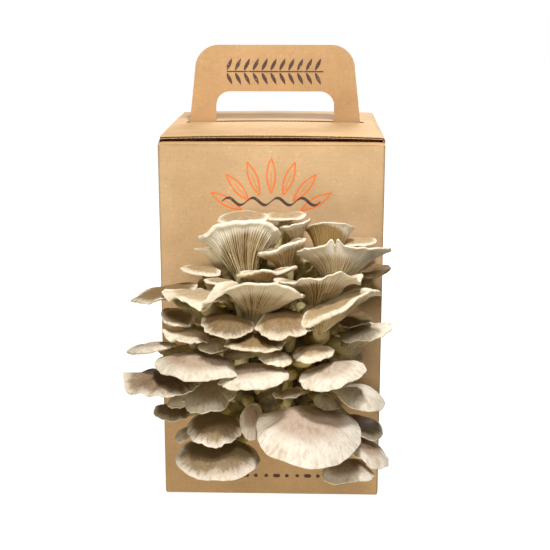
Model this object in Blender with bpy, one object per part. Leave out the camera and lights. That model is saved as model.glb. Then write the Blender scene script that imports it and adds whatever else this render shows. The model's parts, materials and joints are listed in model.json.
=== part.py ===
"""Oyster mushroom grow kit, modelled with Blender.

A flat-topped carry carton of thin fluted board holds a bagged block of damp sawdust.  An oval window in
its front lets out one cluster of oyster mushrooms: a knot of joined stem bases, and every mushroom on it as
a piece of its own, cap and stem grown as one.  The carton's two handle flaps fold in from the front and the
back, stand up together at mid depth as the handle, and pass through the slots of the two lid flaps.

Sizes are millimetres until a mesh is made.  The origin is the middle of the carton's underside, +X is the
viewer's right, -Y comes out of the front and +Z is up.  "Out" is a distance in front of the front wall.
"""
import math
from typing import NamedTuple

import bmesh
import bpy
import numpy as np

MM = 0.001
GAP = 0.4                  # between pieces that touch

# Carton
WIDTH = 165.0
DEPTH = 179.0
HEIGHT = 274.0             # floor to the crease at the top of the front wall
BOARD = 1.6                # thin fluted board
BOTTOM = 2 * BOARD         # two bottom flaps lie on each other
FRONT = -DEPTH / 2
WINDOW_HALF = (40.0, 62.0)
WINDOW_Z = 122.0
WINDOW_SIDES = 28

# Lid and handle
LID_SIDE_GAP = 1.4         # each lid flap is this much narrower than the carton at its sides
LID_SET_BACK = 3.3         # and its front and back edges lie behind the carton's faces by this much
SLOT_HALF = (70.5, 4.5)
HANDLE_Y = 3.0
HANDLE_TOP = 339.0
HANDLE_FOOT_HALF = 68.5    # half width where it leaves the lid
HANDLE_SHOULDER_HALF = 63.0
HANDLE_CORNER = 18.5
GRIP_HEIGHT = 36.0         # the band above the finger opening
OPENING_HALF = 47.0
OPENING_CORNER = 11.5
CORNER_STEPS = 6
LEAF_GAP = 0.8             # between the two handle leaves

# Grow block
BLOCK_HALF = (75.0, 82.0)
BLOCK_Y = -2.0
BLOCK_TOP = 226.0
BAG_TOP = 262.0            # the bag's folded neck reaches almost to the lid
BLOCK_SIDES = 24

# Knot of joined stem bases
KNOT_HALF = (44.0, 40.0, 70.0)     # half width, reach out of the window, half height
KNOT_SIDES = 24
NECK_SLACK = 2.0                   # between the knot's neck and the window's edge

# Mushrooms
SIDES = 12
LARGE_SIDES = 14
LARGE_CAP = 29.0           # half width from which a cap takes the larger number of sides
ROOT_LIFT = 0.7            # a stem starts this far off the knot
RIM = 1.0                  # how thick a cap is just inside its edge
FLARE = 1.9                # how fast the gills run out from the stem: 1 is a cone, more is a trumpet
STEM_RINGS = (1.0, 0.5)
GILL_RINGS = (0.0, 0.35, 0.72)
TOP_RING = 0.62


class Growth(NamedTuple):
    """One mushroom: where its cap is, how the cap is turned and shaped, and where its stem starts."""
    middle: tuple          # the cap's middle: x, out, z
    half: tuple            # half width across, half length from its back edge to its front edge
    turn: tuple            # degrees: heading to the right, front edge lifted, right edge lifted
    cup: float             # how far the rim stands above the cap's middle; a dome is negative
    back: float            # how far behind the cap's middle the stem joins it, as a share of the half length
    neck: float            # how far below the cap the gills start on the stem
    root: tuple            # where the stem leaves the knot: x, z
    stem: float            # the stem's radius
    ruffle: float          # how far the rim waves up and down


MUSHROOMS = {
    "top_mushroom_1": Growth((-21, 17, 220), (18, 12), (-8, 0, 3), 2, 0.35, 7, (-12, 184), 4.5, 1.2),
    "top_mushroom_2": Growth((13, 14, 219.5), (13, 11), (6, 4, 2), 2, 0.35, 6, (4, 188), 4.5, 1),
    "top_mushroom_3": Growth((-22, 40, 211), (29, 19), (-12, 30, 10), 5, 0.35, 17, (-12, 174), 7, 2),
    "top_mushroom_4": Growth((18, 30, 217), (13, 11), (12, 18, 8), 3, 0.35, 8, (14, 182), 4, 1.2),
    "top_mushroom_5": Growth((44, 23, 210), (20, 13), (12, 28, -3), 4, 0.35, 12, (26, 177), 5, 1.5),
    "top_mushroom_6": Growth((10, 45, 205), (18, 12), (8, 28, 14), 3, 0.4, 11, (8, 166), 4.5, 2),
    "top_mushroom_7": Growth((-43, 21, 196.5), (13, 10), (-30, 20, 5), 2, 0.4, 10, (-26, 170), 4, 1),
    "top_mushroom_8": Growth((52, 43, 197.5), (33, 16), (12, 26, -3), 4, 0.4, 16, (26, 164), 6.5, 3),
    "top_mushroom_9": Growth((66, 17, 204), (11, 9), (20, 4, 0), 1, 0.4, 5, (36, 164), 3, 1),
    "top_mushroom_10": Growth((75, 22, 184), (13, 11), (40, 6, 18), 1, 0.4, 6, (38, 154), 3.5, 1),
    "upper_mushroom_1": Growth((-50, 35, 186.5), (15, 11), (-30, -4, -2), -1, 0.5, 6, (-34, 158), 4, 1),
    "upper_mushroom_2": Growth((-33, 53, 183.5), (11, 9), (-20, -4, -4), 0, 0.5, 5, (-26, 158), 3.5, 0.8),
    "upper_mushroom_3": Growth((-77.5, 35.5, 169), (25, 15), (-35, 2, 14), 1, 0.45, 8, (-40, 146), 5, 1.5),
    "upper_mushroom_4": Growth((-49.5, 68.5, 176), (23, 14), (-25, -2, 0), 0, 0.5, 8, (-32, 150), 5, 3),
    "upper_mushroom_5": Growth((-9, 78, 181), (34, 20), (-6, 15, -3), 3, 0.55, 15, (-10, 152), 7, 2.5),
    "upper_mushroom_6": Growth((-3, 58.5, 192), (22, 12), (2, 12, 8), 2, 0.7, 7, (-3, 166), 4, 2),
    "upper_mushroom_7": Growth((35, 70, 188), (31, 18), (8, 18, 2), 4, 0.45, 15, (18, 150), 6.5, 2.5),
    "upper_mushroom_8": Growth((51.5, 81, 168), (29, 16), (14, 30, 18), 3, 0.4, 13, (29, 139), 6, 2),
    "upper_mushroom_9": Growth((9.5, 84, 160), (18, 17), (6, -22, 4), -4, 0.6, 8, (10, 136), 5, 1.5),
    "upper_mushroom_10": Growth((-30, 81, 163), (18, 16), (-10, -16, -9), -4, 0.6, 8, (-20, 138), 5, 1.5),
    "upper_mushroom_11": Growth((-63, 52, 158), (14, 12), (-30, 4, -10), 2, 0.5, 6, (-40, 136), 4, 2),
    "upper_mushroom_12": Growth((-59, 60.5, 146.5), (16, 12), (-30, -8, -4), 0, 0.5, 6, (-38, 126), 4, 2),
    "upper_mushroom_13": Growth((-9, 84, 151), (22, 15), (-4, -10, 0), -1, 0.6, 6, (0, 126), 5, 2.5),
    "upper_mushroom_14": Growth((-38.5, 70, 144.6), (12, 11), (-20, -10, 4), -2, 0.5, 5, (-24, 126), 3.5, 1),
    "upper_mushroom_15": Growth((-20, 65.5, 136.5), (10, 9), (-10, -6, 4), -2, 0.6, 5, (-20, 116), 3.5, 1),
    "upper_mushroom_16": Growth((5, 83.5, 139), (13, 12), (-4, -14, -6), -3, 0.6, 5, (2, 112), 4, 1.5),
    "upper_mushroom_17": Growth((32.5, 79, 141), (16, 13), (10, -14, 6), -3, 0.6, 6, (18, 122), 4, 1.5),
    "upper_mushroom_18": Growth((60, 42, 155), (16, 12), (40, -4, 4), 0, 0.5, 6, (42, 141), 3.5, 1.5),
    "upper_mushroom_19": Growth((69, 44.5, 143.5), (19, 13), (40, 4, 8), -1, 0.5, 8, (41, 127), 5, 2),
    "upper_mushroom_20": Growth((61, 20, 122), (9, 11), (50, -10, 0), -2, 0.5, 4, (42, 110), 3.5, 1),
    "middle_mushroom_1": Growth((-88, 41, 134), (20, 11), (-40, 0, -2), -3, 0.6, 6, (-43, 124), 4, 0.8),
    "middle_mushroom_2": Growth((-53.5, 75.5, 134), (30, 22), (-25, -16, -4), -8, 0.65, 9, (-28, 108), 6, 1.5),
    "middle_mushroom_3": Growth((-75, 62, 116), (31, 20), (-35, -10, 2), -2, 0.6, 8, (-41, 112), 5.5, 3),
    "middle_mushroom_4": Growth((-7, 94, 130.5), (22.5, 17), (-4, -20, 4), -6, 0.65, 8, (-4, 102), 5.5, 1.5),
    "middle_mushroom_5": Growth((45, 84, 130), (23, 18), (14, -16, 4), -5, 0.65, 7, (24, 108), 5, 1.5),
    "middle_mushroom_6": Growth((67, 62, 108), (18, 16), (35, -26, -10), -6, 0.6, 7, (38, 100), 4.5, 1),
    "middle_mushroom_7": Growth((42, 62, 101), (12, 11), (20, -16, 0), -2, 0.6, 4, (30, 92), 3.5, 1),
    "middle_mushroom_8": Growth((-60, 44, 97), (14, 13), (-35, -16, 0), -4, 0.55, 5, (-40, 90), 3.5, 1.5),
    "middle_mushroom_9": Growth((-43, 66, 104), (20, 16), (-20, -14, 4), -4, 0.6, 6, (-30, 90), 4.5, 2),
    "middle_mushroom_10": Growth((14, 58, 105), (10, 10), (5, 6, 6), 1, 0.5, 6, (10, 86), 3.5, 1.5),
    "bottom_mushroom_1": Growth((-72, 34, 83), (15, 12), (-50, -10, -6), -3, 0.55, 5, (-38, 78), 4, 1),
    "bottom_mushroom_2": Growth((-39, 68, 84), (21, 18), (-20, -18, 0), -4, 0.6, 7, (-24, 72), 5, 2),
    "bottom_mushroom_3": Growth((-12, 72, 90), (9, 16), (0, -45, 0), -2, 0.6, 4, (-6, 76), 4, 0.8),
    "bottom_mushroom_4": Growth((-62, 40, 67), (8, 9), (-40, -26, 0), -2, 0.5, 3, (-34, 66), 3.5, 0.8),
    "bottom_mushroom_5": Growth((-36, 74, 64), (31, 22), (-14, -24, 0), -8, 0.65, 9, (-18, 58), 6.5, 1.5),
    "bottom_mushroom_6": Growth((28, 90, 89), (37, 30), (10, -26, 0), -10, 0.7, 9, (10, 70), 7.5, 2),
    "bottom_mushroom_7": Growth((73, 58, 66), (15, 17), (50, -30, -6), -4, 0.6, 5, (34, 72), 4.5, 1.5),
    "bottom_mushroom_8": Growth((56, 72, 54), (18, 13), (25, -20, -4), -5, 0.6, 5, (20, 58), 4.5, 1),
    "bottom_mushroom_9": Growth((68, 48, 79), (17, 14), (50, -18, -4), -3, 0.6, 5, (38, 86), 4.5, 1),
}


def material(name, colour, roughness):
    """A Principled material with one colour (linear RGB) and one roughness."""
    made = bpy.data.materials.new(name)
    made.use_nodes = True
    shader = made.node_tree.nodes["Principled BSDF"]
    shader.inputs["Base Color"].default_value = (*colour, 1.0)
    shader.inputs["Roughness"].default_value = roughness
    shader.inputs["Metallic"].default_value = 0.0
    return made


def solid(name, vertices, faces, made_of, smooth_below=None):
    """Put a closed shape, in millimetres, into the scene as a named object with its faces pointing out."""
    shape = bmesh.new()
    corners = [shape.verts.new([value * MM for value in vertex]) for vertex in vertices]
    for face in faces:
        shape.faces.new([corners[index] for index in face])
    bmesh.ops.recalc_face_normals(shape, faces=shape.faces)
    mesh = bpy.data.meshes.new(name)
    shape.to_mesh(mesh)
    shape.free()
    mesh.materials.append(made_of)
    piece = bpy.data.objects.new(name, mesh)
    bpy.context.scene.collection.objects.link(piece)
    if smooth_below is not None:
        mesh.shade_smooth()
        mesh.set_sharp_from_angle(angle=math.radians(smooth_below))
    return piece


def tube_faces(rings, sides):
    """Quads between neighbouring rings of a grid, and an n-gon at each end."""
    faces = []
    for ring in range(rings - 1):
        for side in range(sides):
            after = (side + 1) % sides
            low, high = ring * sides, (ring + 1) * sides
            faces.append((low + side, low + after, high + after, high + side))
    faces.append(tuple(range(sides)))
    faces.append(tuple(range((rings - 1) * sides, rings * sides)))
    return faces


def slab(name, low, high, made_of):
    """A plain rectangular board between two opposite corners."""
    (x0, y0, z0), (x1, y1, z1) = low, high
    ring = ((x0, y0), (x1, y0), (x1, y1), (x0, y1))
    vertices = [(x, y, z) for z in (z0, z1) for x, y in ring]
    return solid(name, vertices, tube_faces(2, 4), made_of)


def prism(name, outline, y0, y1, made_of):
    """An upright outline, a list of (x, z) points, carried straight from y0 to y1."""
    vertices = [(x, y, z) for y in (y0, y1) for x, z in outline]
    return solid(name, vertices, tube_faces(2, len(outline)), made_of)


def oval(half_width, half_height, middle_z, sides):
    """Points (x, z) round an upright ellipse."""
    turns = [2 * math.pi * step / sides for step in range(sides)]
    return [(half_width * math.cos(turn), middle_z + half_height * math.sin(turn)) for turn in turns]


def boolean(piece, other, operation):
    """Add a Boolean modifier, and keep the other object out of the build as a wire guide."""
    change = piece.modifiers.new(other.name, "BOOLEAN")
    change.operation = operation
    change.object = other
    other.hide_render = True
    other.display_type = "WIRE"


def corner(centre_x, centre_z, radius, start, end):
    """Points (x, z) along a round corner, from one angle in degrees to another."""
    turns = [math.radians(start + (end - start) * step / CORNER_STEPS) for step in range(CORNER_STEPS + 1)]
    return [(centre_x + radius * math.cos(turn), centre_z + radius * math.sin(turn)) for turn in turns]


def make_carton(board):
    """The carton's folded body: four walls and a double bottom, open at the top, with the oval window."""
    wall_top = HEIGHT - BOARD - GAP
    body = slab("carton", (-WIDTH / 2, FRONT, 0), (WIDTH / 2, -FRONT, wall_top), board)
    inside_low = (-WIDTH / 2 + BOARD, FRONT + BOARD, BOTTOM)
    inside_high = (WIDTH / 2 - BOARD, -FRONT - BOARD, wall_top + BOARD)
    boolean(body, slab("inside_cutter", inside_low, inside_high, board), "DIFFERENCE")
    window = oval(*WINDOW_HALF, WINDOW_Z, WINDOW_SIDES)
    cutter = prism("window_cutter", window, FRONT - BOARD, FRONT + 2 * BOARD, board)
    boolean(body, cutter, "DIFFERENCE")


def handle_outline(foot):
    """Outline of a handle leaf: tapering legs, round shoulders, and the finger opening between the legs."""
    shoulder_z = HANDLE_TOP - HANDLE_CORNER
    shoulder_x = HANDLE_SHOULDER_HALF - HANDLE_CORNER
    opening_z = HANDLE_TOP - GRIP_HEIGHT - OPENING_CORNER
    opening_x = OPENING_HALF - OPENING_CORNER
    right_side = [(HANDLE_FOOT_HALF, foot)] + corner(shoulder_x, shoulder_z, HANDLE_CORNER, 0, 90)
    left_side = corner(-shoulder_x, shoulder_z, HANDLE_CORNER, 90, 180) + [(-HANDLE_FOOT_HALF, foot)]
    left_inside = [(-OPENING_HALF, foot)] + corner(-opening_x, opening_z, OPENING_CORNER, 180, 90)
    right_inside = corner(opening_x, opening_z, OPENING_CORNER, 90, 0) + [(OPENING_HALF, foot)]
    return right_side + left_side + left_inside + right_inside


def make_handle_flap(name, wall_y, leaf_y, board):
    """A flap from the top of one wall to mid depth, with its handle leaf standing up on its free edge."""
    near, far = sorted((wall_y, leaf_y + math.copysign(BOARD, leaf_y - wall_y)))
    top = HEIGHT
    flap = slab(name, (-WIDTH / 2 + GAP, near, top - BOARD), (WIDTH / 2 - GAP, far, top), board)
    outline = handle_outline(top - BOARD / 2)
    y0, y1 = sorted((leaf_y, leaf_y + math.copysign(BOARD, leaf_y - wall_y)))
    boolean(flap, prism(name + "_leaf", outline, y0, y1, board), "UNION")


def make_lid_flap(name, bottom, board):
    """One of the two lid flaps: a flat board over the whole top, with the slot that locks over the handle."""
    half_x, half_y = WIDTH / 2 - LID_SIDE_GAP, DEPTH / 2 - LID_SET_BACK
    flap = slab(name, (-half_x, -half_y, bottom), (half_x, half_y, bottom + BOARD), board)
    slot_x, slot_y = SLOT_HALF
    low = (-slot_x, HANDLE_Y - slot_y, bottom - BOARD)
    high = (slot_x, HANDLE_Y + slot_y, bottom + 2 * BOARD)
    boolean(flap, slab(name + "_slot", low, high, board), "DIFFERENCE")


def make_grow_block(film):
    """The bagged block: a soft-cornered block of sawdust with the bag's neck folded down on top of it."""
    # height, and the share of the block's half width and half depth there
    levels = ((BOTTOM + GAP, 0.93), (12, 1.0), (120, 1.0), (BLOCK_TOP - 8, 0.99), (BLOCK_TOP, 0.9),
              (BLOCK_TOP + 14, 0.72), (BAG_TOP, 0.66))
    vertices = []
    for height, share in levels:
        for step in range(BLOCK_SIDES):
            turn = 2 * math.pi * (step + 0.5) / BLOCK_SIDES
            # a squared circle: a cosine and a sine raised to a small power, which fills the corners
            across = math.copysign(abs(math.cos(turn)) ** 0.35, math.cos(turn))
            along = math.copysign(abs(math.sin(turn)) ** 0.35, math.sin(turn))
            vertices.append((BLOCK_HALF[0] * share * across, BLOCK_Y + BLOCK_HALF[1] * share * along, height))
    solid("grow_block", vertices, tube_faces(len(levels), BLOCK_SIDES), film, smooth_below=50)


def make_knot(flesh):
    """The knot of joined stem bases: half an ellipsoid in front of the wall, and its neck in the window."""
    half_x, reach, half_z = KNOT_HALF
    neck_x, neck_z = WINDOW_HALF[0] - NECK_SLACK, WINDOW_HALF[1] - NECK_SLACK
    block_front = BLOCK_Y - BLOCK_HALF[1]
    # each ring: half width, half height, y
    rings = [(neck_x, neck_z, block_front - GAP), (neck_x, neck_z, FRONT - GAP)]
    for degrees in (90, 66, 44, 22):
        across, outward = math.sin(math.radians(degrees)), math.cos(math.radians(degrees))
        rings.append((half_x * across, half_z * across, FRONT - GAP - reach * outward))
    vertices = []
    for ring_x, ring_z, y in rings:
        vertices += [(x, y, z) for x, z in oval(ring_x, ring_z, WINDOW_Z, KNOT_SIDES)]
    solid("cluster_base", vertices, tube_faces(len(rings), KNOT_SIDES), flesh, smooth_below=50)


def cap_axes(turn):
    """Three directions of a turned cap: across to its right, forward to its front edge, and up out of it."""
    heading, lift, lean = (math.radians(angle) for angle in turn)
    across = np.array((math.cos(heading), math.sin(heading), 0.0))
    forward = np.array((math.sin(heading), -math.cos(heading), 0.0))
    up = np.array((0.0, 0.0, 1.0))
    forward, up = forward * math.cos(lift) + up * math.sin(lift), up * math.cos(lift) - forward * math.sin(lift)
    across, up = across * math.cos(lean) + up * math.sin(lean), up * math.cos(lean) - across * math.sin(lean)
    return across, forward, up


def root_on_knot(x, z):
    """The point in front of the wall where the knot's surface has this x and z, and its outward normal."""
    half_x, reach, half_z = KNOT_HALF
    across, high = x / half_x, (z - WINDOW_Z) / half_z
    edge = 0.98
    too_far = max(1.0, math.hypot(across, high) / edge)
    across, high = across / too_far, high / too_far
    outward = math.sqrt(1 - across ** 2 - high ** 2)
    point = np.array((across * half_x, FRONT - outward * reach, WINDOW_Z + high * half_z))
    normal = np.array((across / half_x, -outward / reach, high / half_z))
    return point, normal / np.linalg.norm(normal)


def mushroom_rings(growth, order, sides):
    """Rings of points from a mushroom's root up its stem, out along its gills, round its rim and over its cap.

    The stem's middle line is a cubic Bezier curve that leaves the knot along the knot's normal and meets the
    cap along the cap's axis.  The gills run from the stem's circle to the cap's outline, and rise towards the
    rim by a power of the distance left.  The outline is an ellipse round a middle in front of the stem, with
    two and three lobes, and the rim waves up and down three and five times round.
    """
    turn = np.linspace(0, 2 * math.pi, sides, endpoint=False)
    cosine, sine = np.cos(turn), np.sin(turn)
    phases = order * np.array((2.4, 1.7, 3.1))
    lobes = 1 + 0.05 * np.sin(2 * turn + phases[0]) + 0.05 * np.sin(3 * turn + phases[1])
    wave = growth.ruffle * (0.6 * np.sin(3 * turn + phases[1]) + 0.5 * np.sin(5 * turn + phases[2]))

    half_width, half_length = growth.half
    across, forward, up = cap_axes(growth.turn)
    x, out, z = growth.middle
    set_back = growth.back * half_length
    centre = np.array((x, FRONT - out, z)) - forward * set_back
    outline_x = half_width * cosine * lobes
    outline_y = set_back + half_length * sine * lobes

    def on_cap(flat_x, flat_y, height):
        return centre + np.outer(flat_x, across) + np.outer(flat_y, forward) + np.outer(height, up)

    stem_top = centre - growth.neck * up
    root, normal = root_on_knot(*growth.root)
    root = root + normal * ROOT_LIFT
    length = np.linalg.norm(stem_top - root)
    line = (stem_top, stem_top - up * 0.35 * length, root + normal * 0.45 * length, root)

    rings = []
    for part in STEM_RINGS:
        rest = 1 - part
        weights = (rest ** 3, 3 * rest ** 2 * part, 3 * rest * part ** 2, part ** 3)
        slopes = (-3 * rest ** 2, 3 * rest ** 2 - 6 * rest * part, 6 * rest * part - 3 * part ** 2, 3 * part ** 2)
        middle = sum(weight * point for weight, point in zip(weights, line))
        along = -sum(slope * point for slope, point in zip(slopes, line))
        along = along / np.linalg.norm(along)
        side = across - along * (across @ along)
        side = side / np.linalg.norm(side)
        radius = growth.stem * (0.85 + 0.25 * part)
        rings.append(middle + radius * (np.outer(cosine, side) + np.outer(sine, np.cross(side, along))))
    for share in GILL_RINGS:
        rest = 1 - share
        height = growth.cup * share ** 2 + wave * share ** 3 - RIM - (growth.neck - RIM) * rest ** FLARE
        flat_x = rest * growth.stem * cosine + share * outline_x
        flat_y = rest * growth.stem * sine + share * outline_y
        rings.append(on_cap(flat_x, flat_y, height))
    rings.append(on_cap(outline_x, outline_y, growth.cup + wave - RIM * 0.4))
    top_height = growth.cup * TOP_RING ** 2 + wave * TOP_RING ** 3
    rings.append(on_cap(outline_x * TOP_RING, outline_y * TOP_RING, top_height))
    return rings, line[3], centre


def make_mushroom(name, growth, order, flesh):
    """One mushroom as a closed skin over its rings, with a point in the middle of its root and of its cap."""
    sides = LARGE_SIDES if growth.half[0] >= LARGE_CAP else SIDES
    rings, root, centre = mushroom_rings(growth, order, sides)
    vertices = [*np.concatenate(rings), root, centre]
    faces = tube_faces(len(rings), sides)[:-2]
    root_index, centre_index = len(vertices) - 2, len(vertices) - 1
    last = (len(rings) - 1) * sides
    for side in range(sides):
        after = (side + 1) % sides
        faces.append((root_index, after, side))
        faces.append((centre_index, last + side, last + after))
    solid(name, vertices, faces, flesh, smooth_below=60)


def make_kit():
    for leftover in list(bpy.data.objects):
        bpy.data.objects.remove(leftover)

    board = material("carton_board", (0.50, 0.32, 0.16), 0.85)
    handle_board = material("handle_board", (0.60, 0.39, 0.20), 0.85)
    lid_board = material("lid_board", (0.72, 0.52, 0.30), 0.85)
    film = material("bag_film", (0.62, 0.50, 0.36), 0.35)
    knot_flesh = material("stem_flesh", (0.55, 0.54, 0.36), 0.6)
    tiers = {
        "top": material("white_gilled_flesh", (0.75, 0.70, 0.56), 0.55),
        "upper": material("cream_flesh", (0.62, 0.53, 0.39), 0.55),
        "middle": material("pink_grey_flesh", (0.58, 0.49, 0.41), 0.55),
        "bottom": material("grey_flesh", (0.50, 0.43, 0.36), 0.55),
    }

    make_carton(board)
    half_leaf_gap = LEAF_GAP / 2
    make_handle_flap("front_handle_flap", FRONT, HANDLE_Y - half_leaf_gap - BOARD, handle_board)
    make_handle_flap("back_handle_flap", -FRONT, HANDLE_Y + half_leaf_gap + BOARD, handle_board)
    make_lid_flap("inner_lid_flap", HEIGHT + GAP, lid_board)
    make_lid_flap("outer_lid_flap", HEIGHT + 2 * GAP + BOARD, lid_board)
    make_grow_block(film)
    make_knot(knot_flesh)
    for order, (name, growth) in enumerate(MUSHROOMS.items(), start=1):
        make_mushroom(name, growth, order, tiers[name.split("_")[0]])


make_kit()
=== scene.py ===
"""The looks of an oyster mushroom grow kit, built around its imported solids.

Sizes are millimetres until a mesh is made.  The origin is the middle of the carton's underside, +X is the
viewer's right, -Y comes out of the front and +Z is up.  "Out" is a distance in front of the front wall.
"""
import json
import math
from typing import NamedTuple

import bpy
import numpy as np
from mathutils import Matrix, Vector

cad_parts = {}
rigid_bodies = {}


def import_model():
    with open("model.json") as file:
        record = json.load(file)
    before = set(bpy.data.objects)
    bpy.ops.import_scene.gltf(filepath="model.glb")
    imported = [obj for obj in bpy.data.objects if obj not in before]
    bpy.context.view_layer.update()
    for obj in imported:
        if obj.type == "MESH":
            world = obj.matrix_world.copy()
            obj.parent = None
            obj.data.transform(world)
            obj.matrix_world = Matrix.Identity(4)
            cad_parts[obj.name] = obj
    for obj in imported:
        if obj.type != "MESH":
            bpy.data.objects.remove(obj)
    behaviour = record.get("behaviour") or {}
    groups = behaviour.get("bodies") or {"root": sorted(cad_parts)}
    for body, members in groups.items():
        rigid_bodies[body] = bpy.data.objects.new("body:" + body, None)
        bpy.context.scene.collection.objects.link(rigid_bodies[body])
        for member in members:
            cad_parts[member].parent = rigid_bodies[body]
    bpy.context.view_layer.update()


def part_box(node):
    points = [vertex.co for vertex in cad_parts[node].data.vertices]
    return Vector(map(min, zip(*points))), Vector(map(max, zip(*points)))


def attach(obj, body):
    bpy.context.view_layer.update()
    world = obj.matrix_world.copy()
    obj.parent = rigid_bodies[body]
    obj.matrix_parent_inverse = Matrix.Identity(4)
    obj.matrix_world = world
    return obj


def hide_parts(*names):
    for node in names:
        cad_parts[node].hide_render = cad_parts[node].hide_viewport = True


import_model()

# Camera, floor and lamps. A small lamp and a wider one high in front throw the caps' shadows down the
# cluster. Two wide lamps from below the plain pale floor, which casts no shadow, fill them, and one from
# behind lights the lid.
MM = 0.001
CAMERA_PLACE = (28.4, -931.7, 383.5)
CAMERA_DOWN = 13.86
CAMERA_LEFT = 1.74
LENS = 76.5
FLOOR_HALF = 5000.0
FLOOR_DROP = 0.3
FLOOR_GREY = (0.3, 0.3, 0.3, 1.0)
FLOOR_GLOW = 0.985
WHITE = (1.0, 1.0, 1.0, 1.0)
SKY_LIGHT = (0.13, 0.112, 0.077, 1.0)
# Lamps: place, point aimed at, width, power in watts, colour.
LAMPS = {
    "key_lamp": ((60, -420, 760), (0, -130, 150), 80, 3.9, (1.0, 0.99, 0.965)),
    "front_lamp": ((60, -520, 600), (0, -110, 160), 140, 1.3, (1.0, 0.96, 0.9)),
    "front_fill_lamp": ((-560, -800, -60), (0, -80, 130), 520, 2.65, (1.0, 0.88, 0.66)),
    "table_lamp": ((20, -400, -120), (0, -90, 40), 300, 0.5, (1.0, 0.89, 0.7)),
    "back_lamp": ((150, 900, 700), (0, 0, 150), 700, 8.5, (1.0, 0.97, 0.93)),
}


def make_stage():
    stage = bpy.context.scene.collection.objects
    camera = bpy.data.objects.new("camera", bpy.data.cameras.new("camera"))
    camera.data.lens = LENS
    camera.location = [value * MM for value in CAMERA_PLACE]
    camera.rotation_euler = (math.radians(90 - CAMERA_DOWN), 0, math.radians(CAMERA_LEFT))
    stage.link(camera)
    bpy.context.scene.camera = camera
    bpy.context.scene.view_settings.view_transform = "Standard"

    for name, (place, target, width, power, colour) in LAMPS.items():
        lamp = bpy.data.objects.new(name, bpy.data.lights.new(name, "AREA"))
        lamp.data.shape = "DISK"
        lamp.data.size = width * MM
        lamp.data.energy = power
        lamp.data.color = colour
        lamp.location = [value * MM for value in place]
        aim = Vector(target) - Vector(place)
        lamp.rotation_euler = aim.to_track_quat("-Z", "Y").to_euler()
        stage.link(lamp)

    world = bpy.data.worlds.new("studio")
    world.use_nodes = True
    tree = world.node_tree
    seen = tree.nodes.new("ShaderNodeLightPath")
    tint = tree.nodes.new("ShaderNodeMix")
    tint.data_type = "RGBA"
    tint.inputs[6].default_value = SKY_LIGHT
    tint.inputs[7].default_value = WHITE
    tree.links.new(seen.outputs["Is Camera Ray"], tint.inputs[0])
    tree.links.new(tint.outputs[2], tree.nodes["Background"].inputs["Color"])
    bpy.context.scene.world = world

    floor_mesh = bpy.data.meshes.new("floor")
    half, low = FLOOR_HALF * MM, -FLOOR_DROP * MM
    floor_mesh.from_pydata([(-half, -half, low), (half, -half, low), (half, half, low), (-half, half, low)],
                           [], [(0, 1, 2, 3)])
    floor = bpy.data.objects.new("floor", floor_mesh)
    paint = bpy.data.materials.new("floor_paint")
    paint.use_nodes = True
    sockets = paint.node_tree.nodes["Principled BSDF"].inputs
    sockets["Base Color"].default_value = FLOOR_GREY
    sockets["Roughness"].default_value = 0.9
    sockets["Emission Color"].default_value = WHITE
    sockets["Emission Strength"].default_value = FLOOR_GLOW
    floor_mesh.materials.append(paint)
    floor.visible_diffuse = False
    floor.visible_glossy = False
    floor.visible_shadow = False
    stage.link(floor)


make_stage()


# Carton body: four walls folded from one sheet of thin brown fluted board, with two layers of bottom flaps
# and an oval window cut in the front.  The flutes run level round the walls.  The print on the front is flat
# ink.
BOARD = 1.6
LINER = 0.3                # each of the board's two flat papers
FLUTE_PITCH = 3.3
WALL_CORNER = 2.0
FOOT_ROWS = (0.0, 0.2, 0.6, 1.2, 2.0)
FOOT_INSET = 0.6           # how round the walls' lower edge is, as a share of a quarter circle
FRONT_BULGE = 0.9          # the block inside presses the front out a little
WINDOW_HALF = (40.0, 62.0)
WINDOW_Z = 122.0
BORDER_COLUMNS, BORDER_ROWS = 26, 42
WINDOW_RINGS = 10
BOTTOM_SLACK = 0.2         # between the bottom flaps and the walls
BOTTOM_SEAM = 0.7          # half the gap between the two lower flaps
UPPER_FLAP_EDGE = 25.0     # from the middle to the free edge of the two upper flaps


def solid_corners(node):
    """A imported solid's lowest and highest corner, in millimetres."""
    return [np.array(corner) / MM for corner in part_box(node)]


CARTON_LOW, CARTON_HIGH = solid_corners("carton")
WIDTH, DEPTH, WALL_TOP = CARTON_HIGH - CARTON_LOW * (1, 1, 0)
FRONT = CARTON_LOW[1]


def srgb(red, green, blue):
    """A colour as it shows on a screen, 0 to 255, as linear light."""
    shares = np.array((red, green, blue)) / 255
    linear = np.where(shares <= 0.04045, shares / 12.92, ((shares + 0.055) / 1.055) ** 2.4)
    return (*linear, 1.0)


def grid_quads(rows, columns, around=False):
    """Corner numbers of the quads between neighbouring rows and columns of a grid of points."""
    row = np.arange(rows - 1)[:, None]
    column = np.arange(columns if around else columns - 1)
    after = (column + 1) % columns
    low, high = row * columns, (row + 1) * columns
    return np.stack((low + column, low + after, high + after, high + column), -1).reshape(-1, 4)


def facing(points, quads, direction):
    """The quads, all turned over if on the whole they look away from a direction."""
    spans = np.cross(points[quads[:, 2]] - points[quads[:, 0]], points[quads[:, 3]] - points[quads[:, 1]])
    return quads if (spans @ np.array(direction)).sum() > 0 else quads[:, ::-1]


def welded(points, quads):
    """The same faces on points of which each place has only one."""
    _, first, number = np.unique(np.round(points, 3), axis=0, return_index=True, return_inverse=True)
    return points[first], number.reshape(-1)[quads]


def joined(*parts):
    """Several (points, quads) as one."""
    starts = np.cumsum([0] + [len(points) for points, _ in parts])
    return (np.concatenate([points for points, _ in parts]),
            np.concatenate([quads + start for (_, quads), start in zip(parts, starts)]))


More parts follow.
